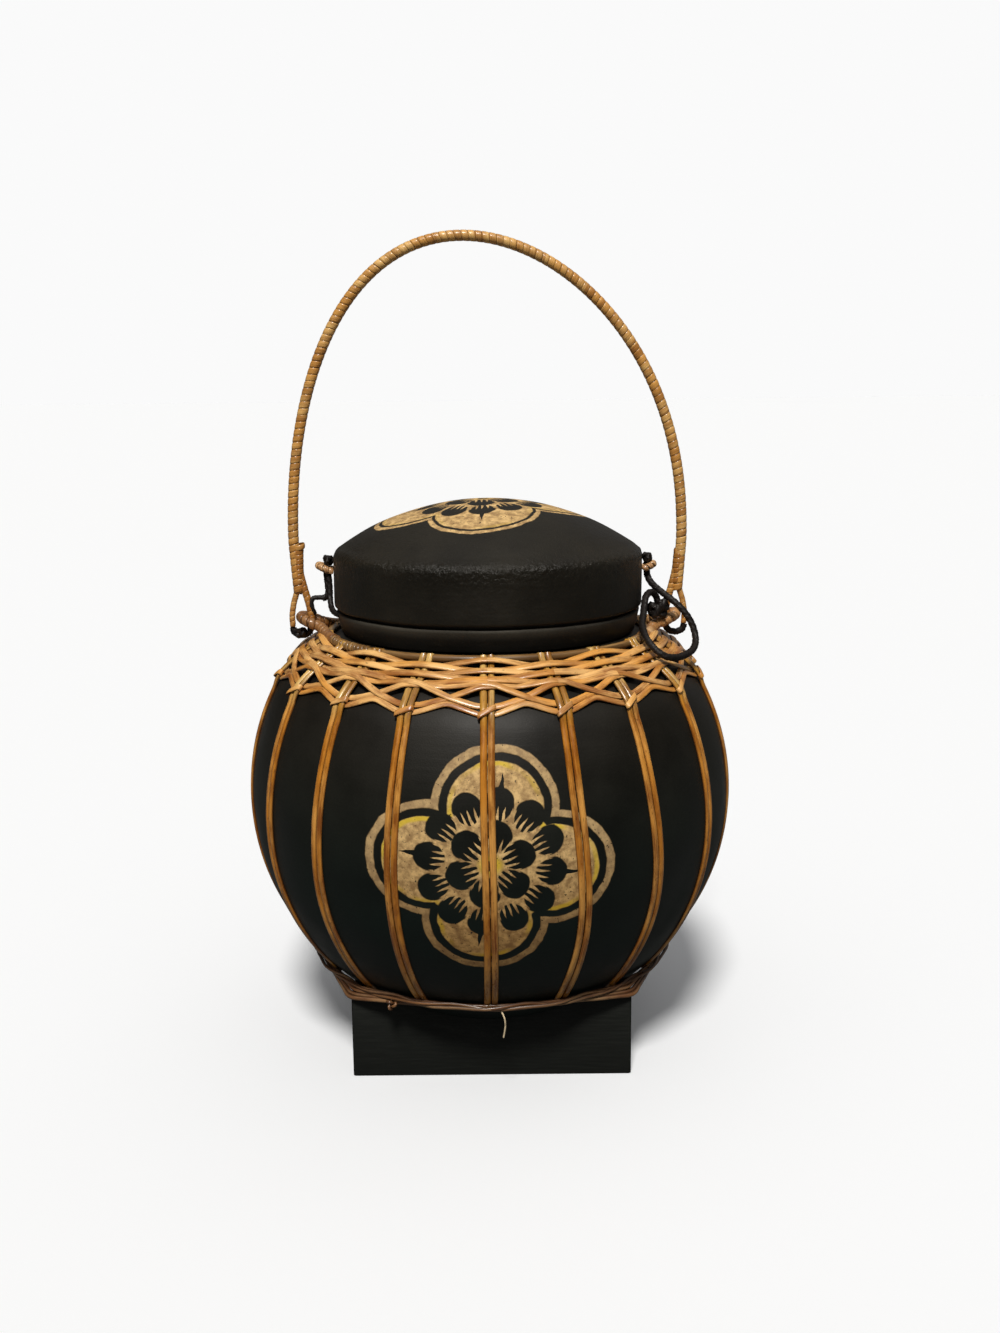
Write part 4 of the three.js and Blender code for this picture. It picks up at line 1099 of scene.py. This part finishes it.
# Ties under the ears
# A short turn of the waxed black cord closes each fork of the bail under its ear and keeps it on.
# The left one ends in a small wad.
TIE_TOP, TIE_REACH = PIVOT[1] - 5.6 * MM, LEG_OFFSET - 0.2 * MM
sag = TIE_REACH - 1.4 * MM
bend = [(TIE_REACH * sin(a), TIE_TOP - 0.8 * MM - sag * cos(a)) for a in np.radians(np.linspace(-90, 90, 7))]
for side, name in SIDES.items():
    points = [(-TIE_REACH, TIE_TOP), *bend, (TIE_REACH, TIE_TOP)]
    tie = lay_cord(f"fork_tie_{name}", [(side * (PIVOT[0] + x), 0, z) for x, z in points])[0]
    if side < 0:
        wad = lobed((-93, -0.6, 203.4), (2.6, 1.9, 1.7), UPRIGHT)
        tie = join([tie, lay_cord("fork_wad", wad, 2.6 * MM, closed=True)[0]], tie.name)
    tie.data.materials.append(cord_black)
    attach(tie, "bail")
    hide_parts(f"bail_tie_{name}")

# Left lid tie
# The same cord ties the lid's left loop to the bail's inner leg, in two stretches: the first ends
# on the neck and the second runs on down to the leg. Its spare end is tucked under the lid's edge.
UPPER_ROUTE = [(-78.9, 0, 236.2), (-78.9, -0.1, 232), (-78.5, -0.2, 227.2), (-78.3, -0.4, 222.8),
               (-79.3, -0.5, 220.9), (-81.1, -0.5, 220.4)]
END_ROUTE = [(-78.3, -1.2, 235.2), (-77.5, -2.2, 230.4), (-77.2, -2.6, 224.8), (-77.1, -3.8, 220.2),
             (-76.4, -6.6, 216.9), (-74.9, -10.6, 215.3), (-72.6, -14.6, 214.6), (-70.4, -17, 214.4)]
LOWER_ROUTE = [(-80.5, -0.5, 220.5), (-83.5, -0.7, 220.7), (-86.1, -0.8, 220.2), (-86.8, -0.9, 218),
               (-86.3, -0.6, 214.8), (-85.5, 0.3, 212.6)]
lid_tie, run = lay_cord("left_tie_upper", np.array(UPPER_ROUTE) * MM)
spare = lay_cord("left_tie_end", np.array(END_ROUTE) * MM, 3.0 * MM)[0]
lid_tie = join([lid_tie, spare], "left_tie_upper")
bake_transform(lid_tie)
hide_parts("lid_tie_left")
leg_tie, run = lay_cord("left_tie_lower", np.array(LOWER_ROUTE) * MM, 2.6 * MM)
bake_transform(leg_tie)
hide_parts("leg_tie_left")
for piece in (lid_tie, leg_tie):
    piece.data.materials.append(cord_black)

# Knots
# The cord is knotted over each lid loop and on the right ear, where it makes a tangle of two knots.
# Each is an overhand knot of the waxed black cord, pulled tight.


def knot(name, centre, size, width):
    """An overhand knot of the cord pulled tight, all in millimetres."""
    run = lobed(centre, np.array(size) - width / 2)
    return lay_cord(name, run, width * MM, closed=True)[0]


lid_knots = {side: knot(f"cord_lid_knot_{name}", (side * 78.0, 0, 239.0), (2.9, 4.6, 2.7), 2.8)
             for side, name in SIDES.items()}
ear_knot = join([knot("cord_ear_knot_right", (82.0, -10.6, 214.6), (5.6, 4.0, 4.4), 3.4),
                 knot("ear_tangle", (84.6, -11.2, 217.0), (3.6, 3.2, 3.4), 2.8)], "cord_ear_knot_right")
for piece, body, cad_name in (
    (lid_knots[-1], "lid", "lid_knot_left"), (lid_knots[1], "lid", "lid_knot_right"),
    (ear_knot, "basket", "ear_knot_right"),
):
    piece.data.materials.append(cord_black)
    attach(piece, body)
    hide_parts(cad_name)

# Floor and light
# A pale floor that runs on into a pale backdrop, under a soft lamp high in front, a broad one
# overhead and a faint one behind. The room is dark, and the floor is bright for the camera alone.
FLOOR_GLOW = 0.05
ROOM, BACKDROP = 0.026, 0.957
LAMPS = {
    "lamp": (radians(35), radians(-6), radians(12), 2.9, (1, 0.96, 0.90)),
    "soft_top": (radians(14), 0, radians(100), 0.6, (1, 0.98, 0.95)),
    "soft_back": (radians(60), radians(160), radians(80), 0.22, (1, 0.98, 0.96)),
}
bpy.ops.mesh.primitive_plane_add(size=60)
floor = bpy.context.object
floor.name = "floor"
floor_white, tree = new_material("floor_white")
seen = node(tree, "ShaderNodeLightPath").outputs["Is Camera Ray"]
colour = mix_colour(seen, (0.13, 0.135, 0.135), (0.905, 0.937, 0.985))
coat(floor_white, colour, 0.9, Specular_IOR_Level=0.0, Emission_Color=(1, 1, 1, 1),
     Emission_Strength=times(seen, FLOOR_GLOW))
floor.data.materials.append(floor_white)

for name, (tip, turn, width, power, colour) in LAMPS.items():
    bpy.ops.object.light_add(type="SUN", location=(0, -1, 1.5), rotation=(tip, 0, turn))
    lamp = bpy.context.object
    lamp.name = name
    lamp.data.energy, lamp.data.angle, lamp.data.color = power, width, colour
world = bpy.context.scene.world or bpy.data.worlds.new("studio")
bpy.context.scene.world = world
world.use_nodes = True
seen = node(world.node_tree, "ShaderNodeLightPath").outputs["Is Camera Ray"]
strength = times_plus(seen, BACKDROP - ROOM, ROOM)
plug(world.node_tree.nodes["Background"], {"Color": (1, 1, 1, 1), "Strength": strength})
bpy.context.scene.view_settings.view_transform = "Standard"
